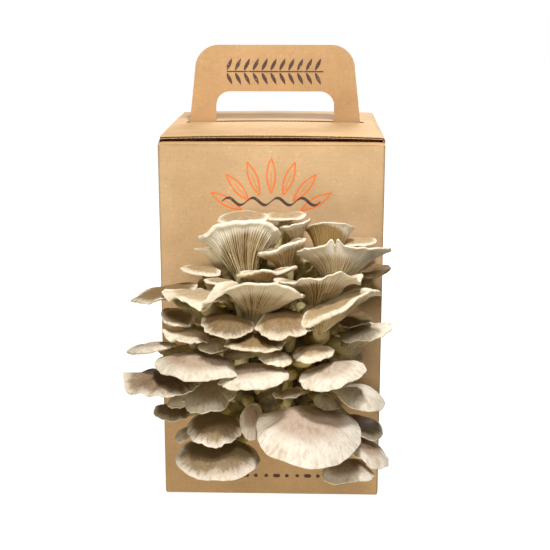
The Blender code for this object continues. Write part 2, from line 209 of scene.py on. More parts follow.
def thickened(points, quads, low, high):
    """A sheet given thickness: its points moved along their normals to a low and a high skin, and a wall
    along every border edge.  A point's normal is the sum of its faces' diagonals' cross products."""
    spans = np.cross(points[quads[:, 2]] - points[quads[:, 0]], points[quads[:, 3]] - points[quads[:, 1]])
    normals = np.zeros_like(points)
    np.add.at(normals, quads, spans[:, None, :])
    normals /= np.maximum(np.linalg.norm(normals, axis=1, keepdims=True), 1e-9)
    edges = np.concatenate([quads[:, [side, (side + 1) % 4]] for side in range(4)])
    _, place, times = np.unique(np.sort(edges, axis=1), axis=0, return_inverse=True, return_counts=True)
    start, end = edges[times[place.reshape(-1)] == 1].T
    count = len(points)
    walls = np.stack((end, start, start + count, end + count), -1)
    return (np.concatenate((points + normals * high, points + normals * low)),
            np.concatenate((quads, quads[:, ::-1] + count, walls)))


def piece_of(name, parts, finishes, fans=None, crease=35.0, fields=None):
    """One finished object from (points, quads) parts, each with the finish of the same place in the list.
    Fans are triangles.  Fields are named numbers or vectors on the points."""
    points, quads = joined(*parts)
    slots = np.repeat(np.arange(len(parts)), [len(part[1]) for part in parts])
    fans = np.zeros((0, 3), int) if fans is None else fans
    corners = np.concatenate((quads.ravel(), fans.ravel()))
    sizes = np.concatenate((np.full(len(quads), 4), np.full(len(fans), 3)))
    mesh = bpy.data.meshes.new(name)
    mesh.vertices.add(len(points))
    mesh.vertices.foreach_set("co", (points * MM).astype(np.float32).ravel())
    mesh.loops.add(len(corners))
    mesh.loops.foreach_set("vertex_index", corners.astype(np.int32))
    mesh.polygons.add(len(sizes))
    mesh.polygons.foreach_set("loop_start", np.concatenate(([0], np.cumsum(sizes)[:-1])).astype(np.int32))
    mesh.polygons.foreach_set("material_index",
                              np.concatenate((slots, np.zeros(len(fans)))).astype(np.int32))
    mesh.update(calc_edges=True)
    for field, values in (fields or {}).items():
        kind = "FLOAT_VECTOR" if values.ndim == 2 else "FLOAT"
        entry = mesh.attributes.new(field, kind, "POINT")
        entry.data.foreach_set("vector" if values.ndim == 2 else "value", values.astype(np.float32).ravel())
    for finish in finishes:
        mesh.materials.append(finish.material)
    mesh.shade_smooth()
    mesh.set_sharp_from_angle(angle=math.radians(crease))
    piece = bpy.data.objects.new(name, mesh)
    bpy.context.scene.collection.objects.link(piece)
    return piece


def stand_for(piece, node):
    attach(piece, "root")
    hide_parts(node)


class Wire:
    """An output of a node in a finish.  Arithmetic on it adds Math nodes, with numbers on either side."""

    def __init__(self, finish, socket):
        self.finish = finish
        self.socket = socket

    def math(self, operation, *values):
        return self.finish.node("ShaderNodeMath", {"operation": operation}, dict(enumerate(values)))

    def __add__(self, other):
        return self.math("ADD", self, other)

    def __sub__(self, other):
        return self.math("SUBTRACT", self, other)

    def __mul__(self, other):
        return self.math("MULTIPLY", self, other)

    def __truediv__(self, other):
        return self.math("DIVIDE", self, other)

    def __pow__(self, other):
        return self.math("POWER", self, other)

    def __lt__(self, other):
        return self.math("LESS_THAN", self, other)

    def __gt__(self, other):
        return self.math("GREATER_THAN", self, other)

    def __abs__(self):
        return self.math("ABSOLUTE", self)

    def __rsub__(self, other):
        return self.math("SUBTRACT", other, self)

    __radd__ = __add__
    __rmul__ = __mul__

    def ramp(self, low, high):
        """0 below low, 1 above high, and an S-shaped rise between; high may be the lower one."""
        settings = {"interpolation_type": "SMOOTHSTEP"}
        return self.finish.node("ShaderNodeMapRange", settings, {0: self, 1: low, 2: high, 3: 0.0, 4: 1.0})


class Finish:
    """One material, built from a Principled shader whose constant sockets are given by name."""

    def __init__(self, name, **constants):
        self.material = bpy.data.materials.new(name)
        self.material.use_nodes = True
        self.tree = self.material.node_tree
        self.shader = self.tree.nodes["Principled BSDF"]
        for socket, value in constants.items():
            self.shader.inputs[socket.replace("_", " ")].default_value = value

    def node(self, kind, settings=None, sockets=None, output=0):
        """Adds a node, with its settings first and then its sockets' values or links."""
        made = self.tree.nodes.new(kind)
        for name, value in (settings or {}).items():
            setattr(made, name, value)
        for name, value in (sockets or {}).items():
            self.join(value, made.inputs[name])
        return Wire(self, made.outputs[output])

    def join(self, value, socket):
        if isinstance(value, Wire):
            self.tree.links.new(value.socket, socket)
        else:
            socket.default_value = value

    def place(self):
        return self.node("ShaderNodeTexCoord", output="Object")

    def axes(self, place):
        """X, Y and Z of a place, in millimetres."""
        split = [self.node("ShaderNodeSeparateXYZ", sockets={0: place}, output=axis) for axis in range(3)]
        return [part * 1000 for part in split]

    def field(self, name, output="Fac"):
        return self.node("ShaderNodeAttribute", {"attribute_name": name}, output=output)

    def stretched(self, vector, factors):
        return self.node("ShaderNodeVectorMath", {"operation": "MULTIPLY"}, {0: vector, 1: factors})

    def noise(self, vector, scale, detail=2.0, roughness=0.5):
        sockets = {"Vector": vector, "Scale": scale, "Detail": detail, "Roughness": roughness}
        return self.node("ShaderNodeTexNoise", sockets=sockets)

    def mix(self, factor, first, second, blend="MIX"):
        settings = {"data_type": "RGBA", "blend_type": blend}
        return self.node("ShaderNodeMix", settings, {0: factor, 6: first, 7: second}, output=2)

    def bumped(self, height, distance, strength=1.0):
        sockets = {"Height": height, "Distance": distance * MM, "Strength": strength}
        return self.node("ShaderNodeBump", sockets=sockets)

    def set(self, **values):
        for socket, value in values.items():
            self.join(value, self.shader.inputs[socket.replace("_", " ")])


def board_finish(name, dark, light, flute_axis, prints=()):
    """Brown paper board: cloudy tone between two browns, fibres along the flutes, pale and dark flecks,
    faint lines across one axis where the flutes show through, and flat ink from pairs of a mask maker and an
    ink."""
    finish = Finish(name, Roughness=0.82, Specular_IOR_Level=0.3)
    place = finish.place()
    axes = finish.axes(place)
    clouds = finish.noise(place, 16.0, 4.0, 0.6)
    level = finish.noise(finish.stretched(place, (150.0, 700.0, 900.0)), 1.0, 3.0, 0.6)
    upright = finish.noise(finish.stretched(place, (800.0, 700.0, 200.0)), 1.0, 2.0, 0.5)
    specks = finish.noise(place, 520.0, 2.0, 0.5)
    flute_wave = axes[flute_axis] * (2 * math.pi / FLUTE_PITCH)
    flutes = flute_wave.math("SINE", flute_wave) * finish.noise(place, 45.0, 2.0, 0.5).ramp(0.45, 0.7)
    shade = (1.0 + (level - 0.5) * 0.16 + (clouds - 0.5) * 0.10 + flutes * 0.014
             - upright.ramp(0.60, 0.70) * 0.07 + specks.ramp(0.64, 0.72) * 0.17
             - specks.ramp(0.36, 0.29) * 0.12)
    grey = finish.node("ShaderNodeCombineColor", sockets={0: shade, 1: shade, 2: shade})
    colour = finish.mix(1.0, finish.mix(clouds.ramp(0.3, 0.7), dark, light), grey, "MULTIPLY")
    for mask, ink in prints:
        colour = finish.mix(mask(*axes) * (1.0 - specks.ramp(0.6, 0.7) * 0.4), colour, ink)
    height = level * 0.4 + flutes * 0.2 + specks * 0.3
    finish.set(Base_Color=colour, Normal=finish.bumped(height, 0.10, 0.7))
    return finish


INK_BROWN = srgb(84, 66, 62)
INK_ORANGE = srgb(236, 122, 56)
SPRAY_MIDDLE_Z = 212.0
SPRAY_INNER, SPRAY_OUTER = 25.0, 51.0
SPRAY_LEAF_DEGREES = 20.0
SPRAY_LEAF_HALF = 3.1
SPRAY_LINE_HALF = 0.62
SPRAY_LOWEST_SLOPE = 0.364
RIPPLE_Z, RIPPLE_HALF_LENGTH, RIPPLE_PITCH, RIPPLE_SWING = 231.0, 36.0, 18.0, 2.6
DOT_Z, DOT_PITCH, DOT_RADIUS, DOTS_HALF_LENGTH, DASH_REACH = 15.5, 8.0, 1.5, 60.0, 1.3


def on_front(y):
    return y < FRONT + 0.6


def spray_mask(x, y, z):
    """Outlined leaves that fan out over the window: in polar coordinates, the distance from a leaf's middle
    line is close to a half width that swells and closes as a half sine of the radius."""
    rise = z - SPRAY_MIDDLE_Z
    radius = (x * x + rise * rise) ** 0.5
    sector = rise.math("ARCTAN2", rise, x) * (180 / math.pi / SPRAY_LEAF_DEGREES)
    aside = abs(sector.math("FRACT", sector) - 0.5) * radius * math.radians(SPRAY_LEAF_DEGREES)
    along = (radius - SPRAY_INNER) / (SPRAY_OUTER - SPRAY_INNER)
    swell = along.math("SINE", along * math.pi) * SPRAY_LEAF_HALF
    line = (abs(aside - swell) < SPRAY_LINE_HALF) * (along > 0.0) * (along < 1.0)
    vein = (aside < SPRAY_LINE_HALF * 0.5) * (along > 0.12) * (along < 0.62)
    ink = (line + vein).math("MINIMUM", line + vein, 1.0)
    return ink * (rise > abs(x) * SPRAY_LOWEST_SLOPE) * on_front(y)


def ripple_mask(x, y, z):
    """A brush line that follows a sine, thicker on its way down than on its way up."""
    wave = x * (2 * math.pi / RIPPLE_PITCH)
    away = abs(z - RIPPLE_Z - wave.math("SINE", wave) * RIPPLE_SWING)
    half = 1.0 + wave.math("COSINE", wave) * -0.45
    return (away < half) * (abs(x) < RIPPLE_HALF_LENGTH) * on_front(y)


def dots_mask(x, y, z):
    """A level row of round dots, every third one drawn out to a dash."""
    step = x / DOT_PITCH
    aside = abs(step.math("FRACT", step) - 0.5) * DOT_PITCH
    third = (step / 3).math("FRACT", step / 3) < 1 / 3
    reach = aside - third * DASH_REACH
    reach = reach.math("MAXIMUM", reach, 0.0)
    rise = z - DOT_Z
    return ((reach * reach + rise * rise) < DOT_RADIUS ** 2) * (abs(x) < DOTS_HALF_LENGTH) * on_front(y)


KRAFT_DARK, KRAFT_LIGHT = srgb(194, 162, 123), srgb(208, 176, 137)
flute_paper = Finish("flute_paper", Base_Color=srgb(140, 102, 66), Roughness=0.9)


def make_carton():
    """The front wall is a sheet from the window's ellipse out to the wall's border in even steps, pressed out
    by a cosine of x times a half sine of the height.  The other walls are the plan's outline carried up, with
    round corners, and the foot's rings draw in along a quarter circle.  Welded, they are given the board's
    thickness.  Two flaps over two others are the bottom."""
    front_x, side_y = WIDTH / 2 - WALL_CORNER, DEPTH / 2 - WALL_CORNER
    skirt_top = FOOT_ROWS[-1]
    across = np.linspace(-front_x, front_x, BORDER_COLUMNS + 1)
    rows = np.linspace(skirt_top, WALL_TOP, BORDER_ROWS + 1)

    border_x = np.concatenate((across[:-1], np.full(BORDER_ROWS, front_x), across[:0:-1],
                               np.full(BORDER_ROWS, -front_x)))
    border_z = np.concatenate((np.full(BORDER_COLUMNS, skirt_top), rows[:-1],
                               np.full(BORDER_COLUMNS, WALL_TOP), rows[:0:-1]))
    turn = np.arctan2((border_z - WINDOW_Z) / WINDOW_HALF[1], border_x / WINDOW_HALF[0])
    window_x = WINDOW_HALF[0] * np.cos(turn)
    window_z = WINDOW_Z + WINDOW_HALF[1] * np.sin(turn)
    share = np.linspace(0, 1, WINDOW_RINGS)[:, None]
    panel_x = window_x + (border_x - window_x) * share
    panel_z = window_z + (border_z - window_z) * share
    high = np.clip((panel_z - skirt_top) / (WALL_TOP - skirt_top), 0, 1)
    bulge = np.cos(panel_x / front_x * math.pi / 2) * np.sin(high * math.pi)
    front = np.stack((panel_x, FRONT - FRONT_BULGE * bulge, panel_z), -1).reshape(-1, 3)
    front_quads = facing(front, grid_quads(WINDOW_RINGS, len(border_x), around=True), (0, -1, 0))

    turns = np.radians([start + np.linspace(0, 90, 7) for start in (-90, 0, 90, 180)])
    middles = np.array(((front_x, -side_y), (front_x, side_y), (-front_x, side_y), (-front_x, -side_y)))
    path_x = (middles[:, :1] + WALL_CORNER * np.cos(turns)).ravel()
    path_y = (middles[:, 1:] + WALL_CORNER * np.sin(turns)).ravel()
    walls = np.stack(np.broadcast_arrays(path_x, path_y, rows[:, None]), -1).reshape(-1, 3)

    foot = np.array(FOOT_ROWS)[:, None]
    inset = (skirt_top - np.sqrt(np.clip(skirt_top ** 2 - (skirt_top - foot) ** 2, 0, None))) * FOOT_INSET
    ring_x = np.concatenate((across[1:-1], path_x))
    ring_y = np.concatenate((np.full(len(across) - 2, FRONT), path_y))
    ring_turn = np.concatenate((np.full(len(across) - 2, -math.pi / 2), turns.ravel()))
    skirt = np.stack(np.broadcast_arrays(ring_x - np.cos(ring_turn) * inset,
                                         ring_y - np.sin(ring_turn) * inset, foot), -1).reshape(-1, 3)
    body = welded(*joined((front, front_quads), (walls, grid_quads(len(rows), len(path_x))),
                          (skirt, grid_quads(len(foot), len(ring_x), around=True))))

    def flap(left, right, near, far, top):
        x, y = np.meshgrid(np.linspace(left, right, 12), np.linspace(near, far, 12))
        points = np.stack((x, y, np.full(x.shape, top)), -1).reshape(-1, 3)
        return thickened(points, facing(points, grid_quads(12, 12), (0, 0, 1)), -BOARD + 0.1, 0.0)

    side, end = WIDTH / 2 - BOARD - BOTTOM_SLACK, DEPTH / 2 - BOARD - BOTTOM_SLACK
    bottoms = [flap(-side, side, -end, -BOTTOM_SEAM, BOARD), flap(-side, side, BOTTOM_SEAM, end, BOARD),
               flap(-side, -UPPER_FLAP_EDGE, -end, end, 2 * BOARD),
               flap(UPPER_FLAP_EDGE, side, -end, end, 2 * BOARD)]
    board = board_finish("printed_wall_board", KRAFT_DARK, KRAFT_LIGHT, 2,
                         ((spray_mask, INK_ORANGE), (ripple_mask, INK_BROWN), (dots_mask, INK_BROWN)))
    piece = piece_of("carton_walls", [thickened(*body, -BOARD, 0.0), *bottoms], [board] * 5)
    stand_for(piece, "carton")


make_carton()


# Handle flaps: the front and back walls run on over a crease at the top, fold in flat to mid depth, and stand
# up there as two leaves of the same board, which together are the handle.  Each leaf is die-cut with round
# shoulders and a finger opening.
CREASE = 1.5               # radius of the board's middle line at a fold
HANDLE_Y = 3.0
HANDLE_FOOT_HALF, HANDLE_SHOULDER_HALF, HANDLE_CORNER = 68.5, 63.0, 18.5
GRIP_HEIGHT = 36.0
OPENING_HALF, OPENING_CORNER = 47.0, 11.5
LEAF_GAP = 0.8
LEAF_BOW = 0.7             # how far a leaf bows away from the other
FLAP_DROOP, FLAP_DROOP_WIDTH = 0.5, 6.0
FLUTE_STRIP = 2.5          # how far the wavy paper is modelled in from a cut edge
FLUTE_SWING = 0.36
FLUTE_HALF = 0.12          # half the wavy paper's thickness
SPRIG_Z, SPRIG_HALF_LENGTH, SPRIG_PITCH = 318.5, 38.0, 7.0
SPRIG_LEAF_REACH, SPRIG_LEAF_HALF, SPRIG_STALK_HALF, SPRIG_LEAN = 10.5, 1.55, 0.55, 0.45


def sprig_mask(x, y, z):
    """A level stalk with slanted leaves above and below it: the distance across a leaf is the share of the
    pitch that x, sheared by the distance from the stalk, is from the leaf's middle."""
    rise = abs(z - SPRIG_Z)
    sheared = (x - rise * SPRIG_LEAN) / SPRIG_PITCH
    aside = abs(sheared.math("FRACT", sheared) - 0.5) * SPRIG_PITCH
    along = rise / SPRIG_LEAF_REACH
    half = along.math("SINE", along * math.pi) * SPRIG_LEAF_HALF
    leaves = (aside < half) * (rise < SPRIG_LEAF_REACH) * (rise > SPRIG_STALK_HALF + 0.5)
    stalk = rise < SPRIG_STALK_HALF
    inside = (abs(x) < SPRIG_HALF_LENGTH) * (y < HANDLE_Y - BOARD - 0.2)
    return (leaves + stalk).math("MINIMUM", leaves + stalk, 1.0) * inside


def waved(points, axis, along, where=1.0):
    """The points moved along one axis by a sine of another, as the wavy paper runs inside the board."""
    moved = points.copy()
    moved[:, axis] += FLUTE_SWING * np.sin(2 * math.pi * points[:, along] / FLUTE_PITCH) * where
    return moved


def leaf_side(foot_half, shoulder_half, corner, foot, top, steps, arc_steps):
    """Half an arch outline, from its right foot to the middle of its top: a straight leg that leans in, a
    round corner, and the top."""
    turns = np.radians(np.linspace(0, 90, arc_steps))
    leg_top = np.array((shoulder_half, top - corner))
    leg = np.linspace((foot_half, foot), leg_top, steps, endpoint=False)
    bend = np.array((shoulder_half, top)) - corner + corner * np.stack((np.cos(turns), np.sin(turns)), -1)
    rest = np.linspace(bend[-1], (0.0, top), steps)[1:]
    return np.concatenate((leg, bend, rest))


def arch(outer, inner, depth_share, y):
    """The band between two half outlines and their mirror images, on an upright plane."""
    outer = np.concatenate((outer, outer[-2::-1] * (-1, 1)))
    inner = np.concatenate((inner, inner[-2::-1] * (-1, 1)))
    share = depth_share[:, None, None]
    flat = outer * (1 - share) + inner * share
    points = np.stack((flat[..., 0], np.full(flat.shape[:2], y), flat[..., 1]), -1).reshape(-1, 3)
    return points, facing(points, grid_quads(len(depth_share), len(outer)), (0, -1, 0))


def make_handle(node, sign, board):
    """One flap and leaf; sign is -1 for the front one and 1 for the back one.  The flap is a sheet along a
    path: up from the wall, round a quarter circle and level to the leaf, with its two ends drooping by a
    square.  The leaf is an arch that bows by a half sine of its height."""
    low, high = solid_corners(node)
    half_x, top = high[0], high[2]
    half = BOARD / 2
    foot = low[2] + half
    leaf_y = HANDLE_Y + sign * (LEAF_GAP + BOARD) / 2
    wall_y = sign * (DEPTH / 2 - half)
    turns = np.radians(np.linspace(0, 90, 8))
    run_y = np.linspace(wall_y - sign * CREASE, leaf_y, 14)[1:]
    path_y = np.concatenate(([wall_y], wall_y - sign * CREASE * (1 - np.cos(turns)), run_y))[:, None]
    path_z = np.concatenate(([WALL_TOP], foot - CREASE * (1 - np.sin(turns)), 0 * run_y + foot))[:, None]
    x = np.linspace(-half_x, half_x, 40)
    droop = FLAP_DROOP * np.clip((np.abs(x) - half_x) / FLAP_DROOP_WIDTH + 1, 0, 1) ** 2 * (path_z > WALL_TOP)
    flap = np.stack(np.broadcast_arrays(x, path_y, path_z - droop), -1).reshape(-1, 3)
    flap_quads = facing(flap, grid_quads(len(path_y), len(x)), (0, 0, 1))

    def leaf(steps, arc_steps, shares):
        outer = leaf_side(HANDLE_FOOT_HALF, HANDLE_SHOULDER_HALF, HANDLE_CORNER, foot, top, steps, arc_steps)
        inner = leaf_side(OPENING_HALF, OPENING_HALF, OPENING_CORNER, foot, top - GRIP_HEIGHT, steps,
                          arc_steps)
        points, quads = arch(outer, inner, shares, leaf_y)
        bow = LEAF_BOW * sign * np.sin(np.clip((points[:, 2] - foot) / (top - foot), 0, 1) * math.pi)
        points[:, 1] += bow * np.cos(points[:, 0] / HANDLE_FOOT_HALF * 1.2)
        return points, quads

    plain = leaf(20, 12, np.linspace(0, 1, 12))
    strip = np.linspace(0.15, FLUTE_STRIP, 6) / (HANDLE_FOOT_HALF - OPENING_HALF)
    edges = [leaf(170, 60, shares) for shares in (strip, 1 - strip[::-1])]
    parts = [thickened(flap, flap_quads, -half, half), thickened(*plain, half - LINER, half),
             thickened(*plain, -half, -half + LINER),
             *(thickened(waved(points, 1, 2), quads, -FLUTE_HALF, FLUTE_HALF) for points, quads in edges)]
    piece = piece_of(node + "_board", parts, [board, board, board, flute_paper, flute_paper])
    stand_for(piece, node)


handle_board = board_finish("handle_board", srgb(184, 148, 106), srgb(198, 160, 118), 2,
                            ((sprig_mask, INK_BROWN),))
make_handle("front_handle_flap", -1, handle_board)
make_handle("back_handle_flap", 1, handle_board)


# Lid flaps: the left wall's flap lies under the right wall's one, and both lock over the handle with a long
# slot.  Each springs up a little in the middle.  Their flutes run from front to back, so their front edges
# show the waves.  The inner flap is set back behind the outer one, so that a dark gap shows under the lid.
SLOT_HALF = (70.5, 4.5)
LID_SPRING, LID_SWELL = 1.5, 0.5   # how far the middle stands above the ends, across and from front to back
LID_ROWS = 7                       # of points on either side of the slot
INNER_SET_BACK = 6.0
INNER_SHORT = 1.6                  # how far the inner flap ends before the outer one's fold
FLUTE_SET_IN = 0.999               # keeps the wavy paper's ends just inside the liners'


def make_lid(node, hinge, lift, board):
    """One lid flap as a sheet over its path across the carton: a free edge, a run that rises to the middle
    as a cosine, and at the hinge side a round fold down to the wall.  The slot is left out of its grid.
    Hinge is -1 at the left wall, where the inner flap is, and lift is how far its ends lie above the solid's
    underside."""
    low, high = solid_corners(node)
    inner = hinge < 0
    half = BOARD / 2
    end_z = low[2] + lift
    front, back = low[1] + INNER_SET_BACK * inner, high[1]
    fold_x = WIDTH / 2 - half
    stops = (INNER_SHORT * inner - high[0], -SLOT_HALF[0], SLOT_HALF[0], fold_x - CREASE)

    def sheet(step):
        runs = [np.linspace(start, end, max(2, round((end - start) / step)), endpoint=False)
                for start, end in zip(stops, stops[1:])]
        run_x = np.concatenate(runs)
        run_z = end_z + LID_SPRING * np.cos(run_x / (WIDTH / 2) * math.pi / 2) ** 0.8
        turns = np.radians(np.linspace(90, 0, 9))
        x = np.concatenate((run_x, stops[-1] + CREASE * np.cos(turns), [fold_x]))
        z = np.concatenate((run_z, end_z - CREASE + CREASE * np.sin(turns), [WALL_TOP + 0.2]))
        y = np.concatenate((np.linspace(front, HANDLE_Y - SLOT_HALF[1], LID_ROWS),
                            np.linspace(HANDLE_Y + SLOT_HALF[1], back, LID_ROWS)))[:, None]
        swell = LID_SWELL * np.sin((y - front) / (back - front) * math.pi) * (np.arange(len(x)) < len(run_x))
        points = np.stack(np.broadcast_arrays(x * hinge, y, z + swell), -1).reshape(-1, 3)
        kept = np.ones((len(y) - 1, len(x) - 1), bool)
        kept[LID_ROWS - 1, len(runs[0]):len(runs[0]) + len(runs[1])] = False
        return points, facing(points, grid_quads(len(y), len(x))[kept.ravel()], (0, 0, 1))

    liner = sheet(4.0)
    points, quads = sheet(0.6)
    waves = waved(points, 2, 0, points[:, 2] > end_z - 0.2)
    waves[:, 1] *= FLUTE_SET_IN
    parts = [thickened(*liner, half - LINER, half), thickened(*liner, -half, -half + LINER),
             thickened(waves, quads, -FLUTE_HALF, FLUTE_HALF)]
    piece = piece_of(node + "_board", parts, [board, board, flute_paper])
    stand_for(piece, node)


# The lid's board is lighter than the walls', painted light for the stronger light that falls on the top.
lid_board = board_finish("lid_board", srgb(204, 168, 124), srgb(222, 186, 142), 0)
make_lid("inner_lid_flap", -1, 0.5, lid_board)
make_lid("outer_lid_flap", 1, 0.3, lid_board)


# Grow block: damp sawdust grown through with white threads, in a clear plastic bag whose neck is folded down
# on top.  Film clings to it in fine creases.
BLOCK_LOW, BLOCK_HIGH = solid_corners("grow_block")
BAG_SHOULDER_Z = 226.0
BLOCK_COLUMNS, BLOCK_ROWS = 160, 90


def closed_rings(rings, first_end, last_end):
    """Rings of points as one skin: quads between neighbours, and fans of triangles to a point at each end."""
    rows, columns = rings.shape[:2]
    count, last = rows * columns, (rows - 1) * columns
    column = np.arange(columns)
    after = (column + 1) % columns
    fans = np.concatenate((np.stack((np.full(columns, count), after, column), -1),
                           np.stack((np.full(columns, count + 1), last + column, last + after), -1)))
    points = np.concatenate((rings.reshape(-1, 3), [first_end, last_end]))
    return points, grid_quads(rows, columns, around=True), fans


def make_block():
    """The bag as rings of a squared circle, a cosine and a sine raised to a small power, whose size follows
    the height; creases are sines round and up it."""
    turn = 2 * math.pi * np.arange(BLOCK_COLUMNS) / BLOCK_COLUMNS
    height = np.linspace(0, 1, BLOCK_ROWS)[:, None]
    half, middle = (BLOCK_HIGH - BLOCK_LOW) / 2, (BLOCK_HIGH + BLOCK_LOW) / 2
    bottom, top = BLOCK_LOW[2], BLOCK_HIGH[2]
    z = bottom + (top - bottom) * height
    share = np.interp(z, (bottom, 12, 120, BAG_SHOULDER_Z - 8, BAG_SHOULDER_Z, top - 8, top),
                      (0.93, 1.0, 1.0, 0.99, 0.88, 0.68, 0.62))
    across = np.sign(np.cos(turn)) * np.abs(np.cos(turn)) ** 0.35
    along = np.sign(np.sin(turn)) * np.abs(np.sin(turn)) ** 0.35
    crease = (0.006 * np.sin(9 * turn + 14 * height) * np.sin(5 * math.pi * height)
              + 0.004 * np.sin(23 * turn - 31 * height))
    size = share + crease * (1 + 4 * (z > BAG_SHOULDER_Z)) - 0.008
    rings = np.stack(np.broadcast_arrays(middle[0] + half[0] * size * across,
                                         middle[1] + half[1] * size * along, z), -1)
    points, quads, fans = closed_rings(rings, (*middle[:2], bottom), (*middle[:2], top - 1.5))
    finish = Finish("bagged_sawdust", Roughness=0.3, Coat_Roughness=0.1)
    place = finish.place()
    threads = finish.noise(place, 60.0, 6.0, 0.7)
    crumbs = finish.noise(place, 420.0, 3.0, 0.6)
    colour = finish.mix(threads.ramp(0.42, 0.6), srgb(150, 112, 70), srgb(232, 222, 200))
    colour = finish.mix(crumbs.ramp(0.55, 0.7) * 0.5, colour, srgb(104, 74, 44))
    finish.set(Base_Color=colour, Coat_Weight=threads.ramp(0.3, 0.6) * 0.4 + 0.4,
               Normal=finish.bumped(threads + crumbs * 0.3, 0.5))
    piece = piece_of("bagged_grow_block", [(points, quads)], [finish], fans=fans)
    stand_for(piece, "grow_block")


make_block()


# Mushrooms: one cluster of oyster mushrooms from the window.  Each is a cap on an off-centre stem grown as
# one, with gills that run down the stem, a thin wavy rim, and a smooth top with fine radial fibres.
KNOT_HALF = (44.0, 40.0, 70.0)     # half width, reach out of the window, half height
GILL_PITCH = 2.2                   # at the rim, between neighbouring gills
GILL_DEPTH = 1.9
GILL_COLUMNS = 8                   # columns of points from one full gill to the next
SHORT_GILL_START = 0.24            # of the gills between them, as a share of the way to the rim
RIM = 1.2                          # how thick a cap is just inside its edge
RIM_RADIUS = 0.6
FLARE = 2.2                        # the power by which a cap thickens from its rim to its neck
NECK_LEAN = 0.7                    # how far a neck leans to its stem's root, as a share of the cap's own axis
ROLL_START = 0.72                  # where a cap's edge starts to turn down, as a share of the way to the rim
ROLL_LENGTH = 18.0                 # half length of a cap whose edge turns down just as is usual on its level
LIP_SPREAD = 60.0                  # degrees over which the pale band below widens
GILL_SIDE = 0.28                   # how tall the columns beside a gill's edge are, as a share of it
ROOT_SUNK = 4.0                    # how far a stem starts inside the knot
STEM_RINGS, GILL_RINGS, RIM_RINGS, TOP_RINGS = 12, 18, 5, 17


class Growth(NamedTuple):
    """One mushroom: where its cap is, how the cap is turned and shaped, where its stem starts, and what sets
    it apart from others."""
    middle: tuple          # the cap's middle: x, out, z
    half: tuple            # half width across, half length from its back edge to its front edge
    turn: tuple            # degrees: heading to the right, front edge lifted, right edge lifted
    cup: float             # how far the rim stands above the cap's middle; a dome is negative
    back: float            # how far behind the cap's middle the stem joins it, as a share of the half length
    neck: float            # how far below the cap the gills start on the stem
    root: tuple            # where the stem leaves the knot: x, z
    stem: float            # the stem's radius
    ruffle: float          # how far the rim waves up and down
    # The tone is partly the crown's own colour and partly painted light and shade: a high tone paints shade
    # on a cap, and a low one, below 0 as well, paints light on it with a paler crown and a wider margin.
    tone: float = None     # how dark the crown is, olive above 1; None is what is usual on its level
    outline: float = 1.0   # how uneven the outline is, as a share of the usual
    rim: float = 1.0       # how thick the rim is, as a share of the usual
    roll: float = None     # how far the edge turns down; None is what is usual on its level
    # It also scales the painted shade between the gills.
    gills: float = 1.0     # how deep the gills are, as a share of the usual
    # Where the pale band of the underside starts, as a share of the way to the rim; the turn at which it is
    # widest, and by how much.  The band is partly paler flesh and partly painted light through the thin edge.
    lip: tuple = (0.72, 0, 0)
    # Folds in the rim: degrees from the cap's right round by its front, half width in degrees, rise, and how
    # far the edge is drawn in as a share of its distance.
    folds: tuple = ()


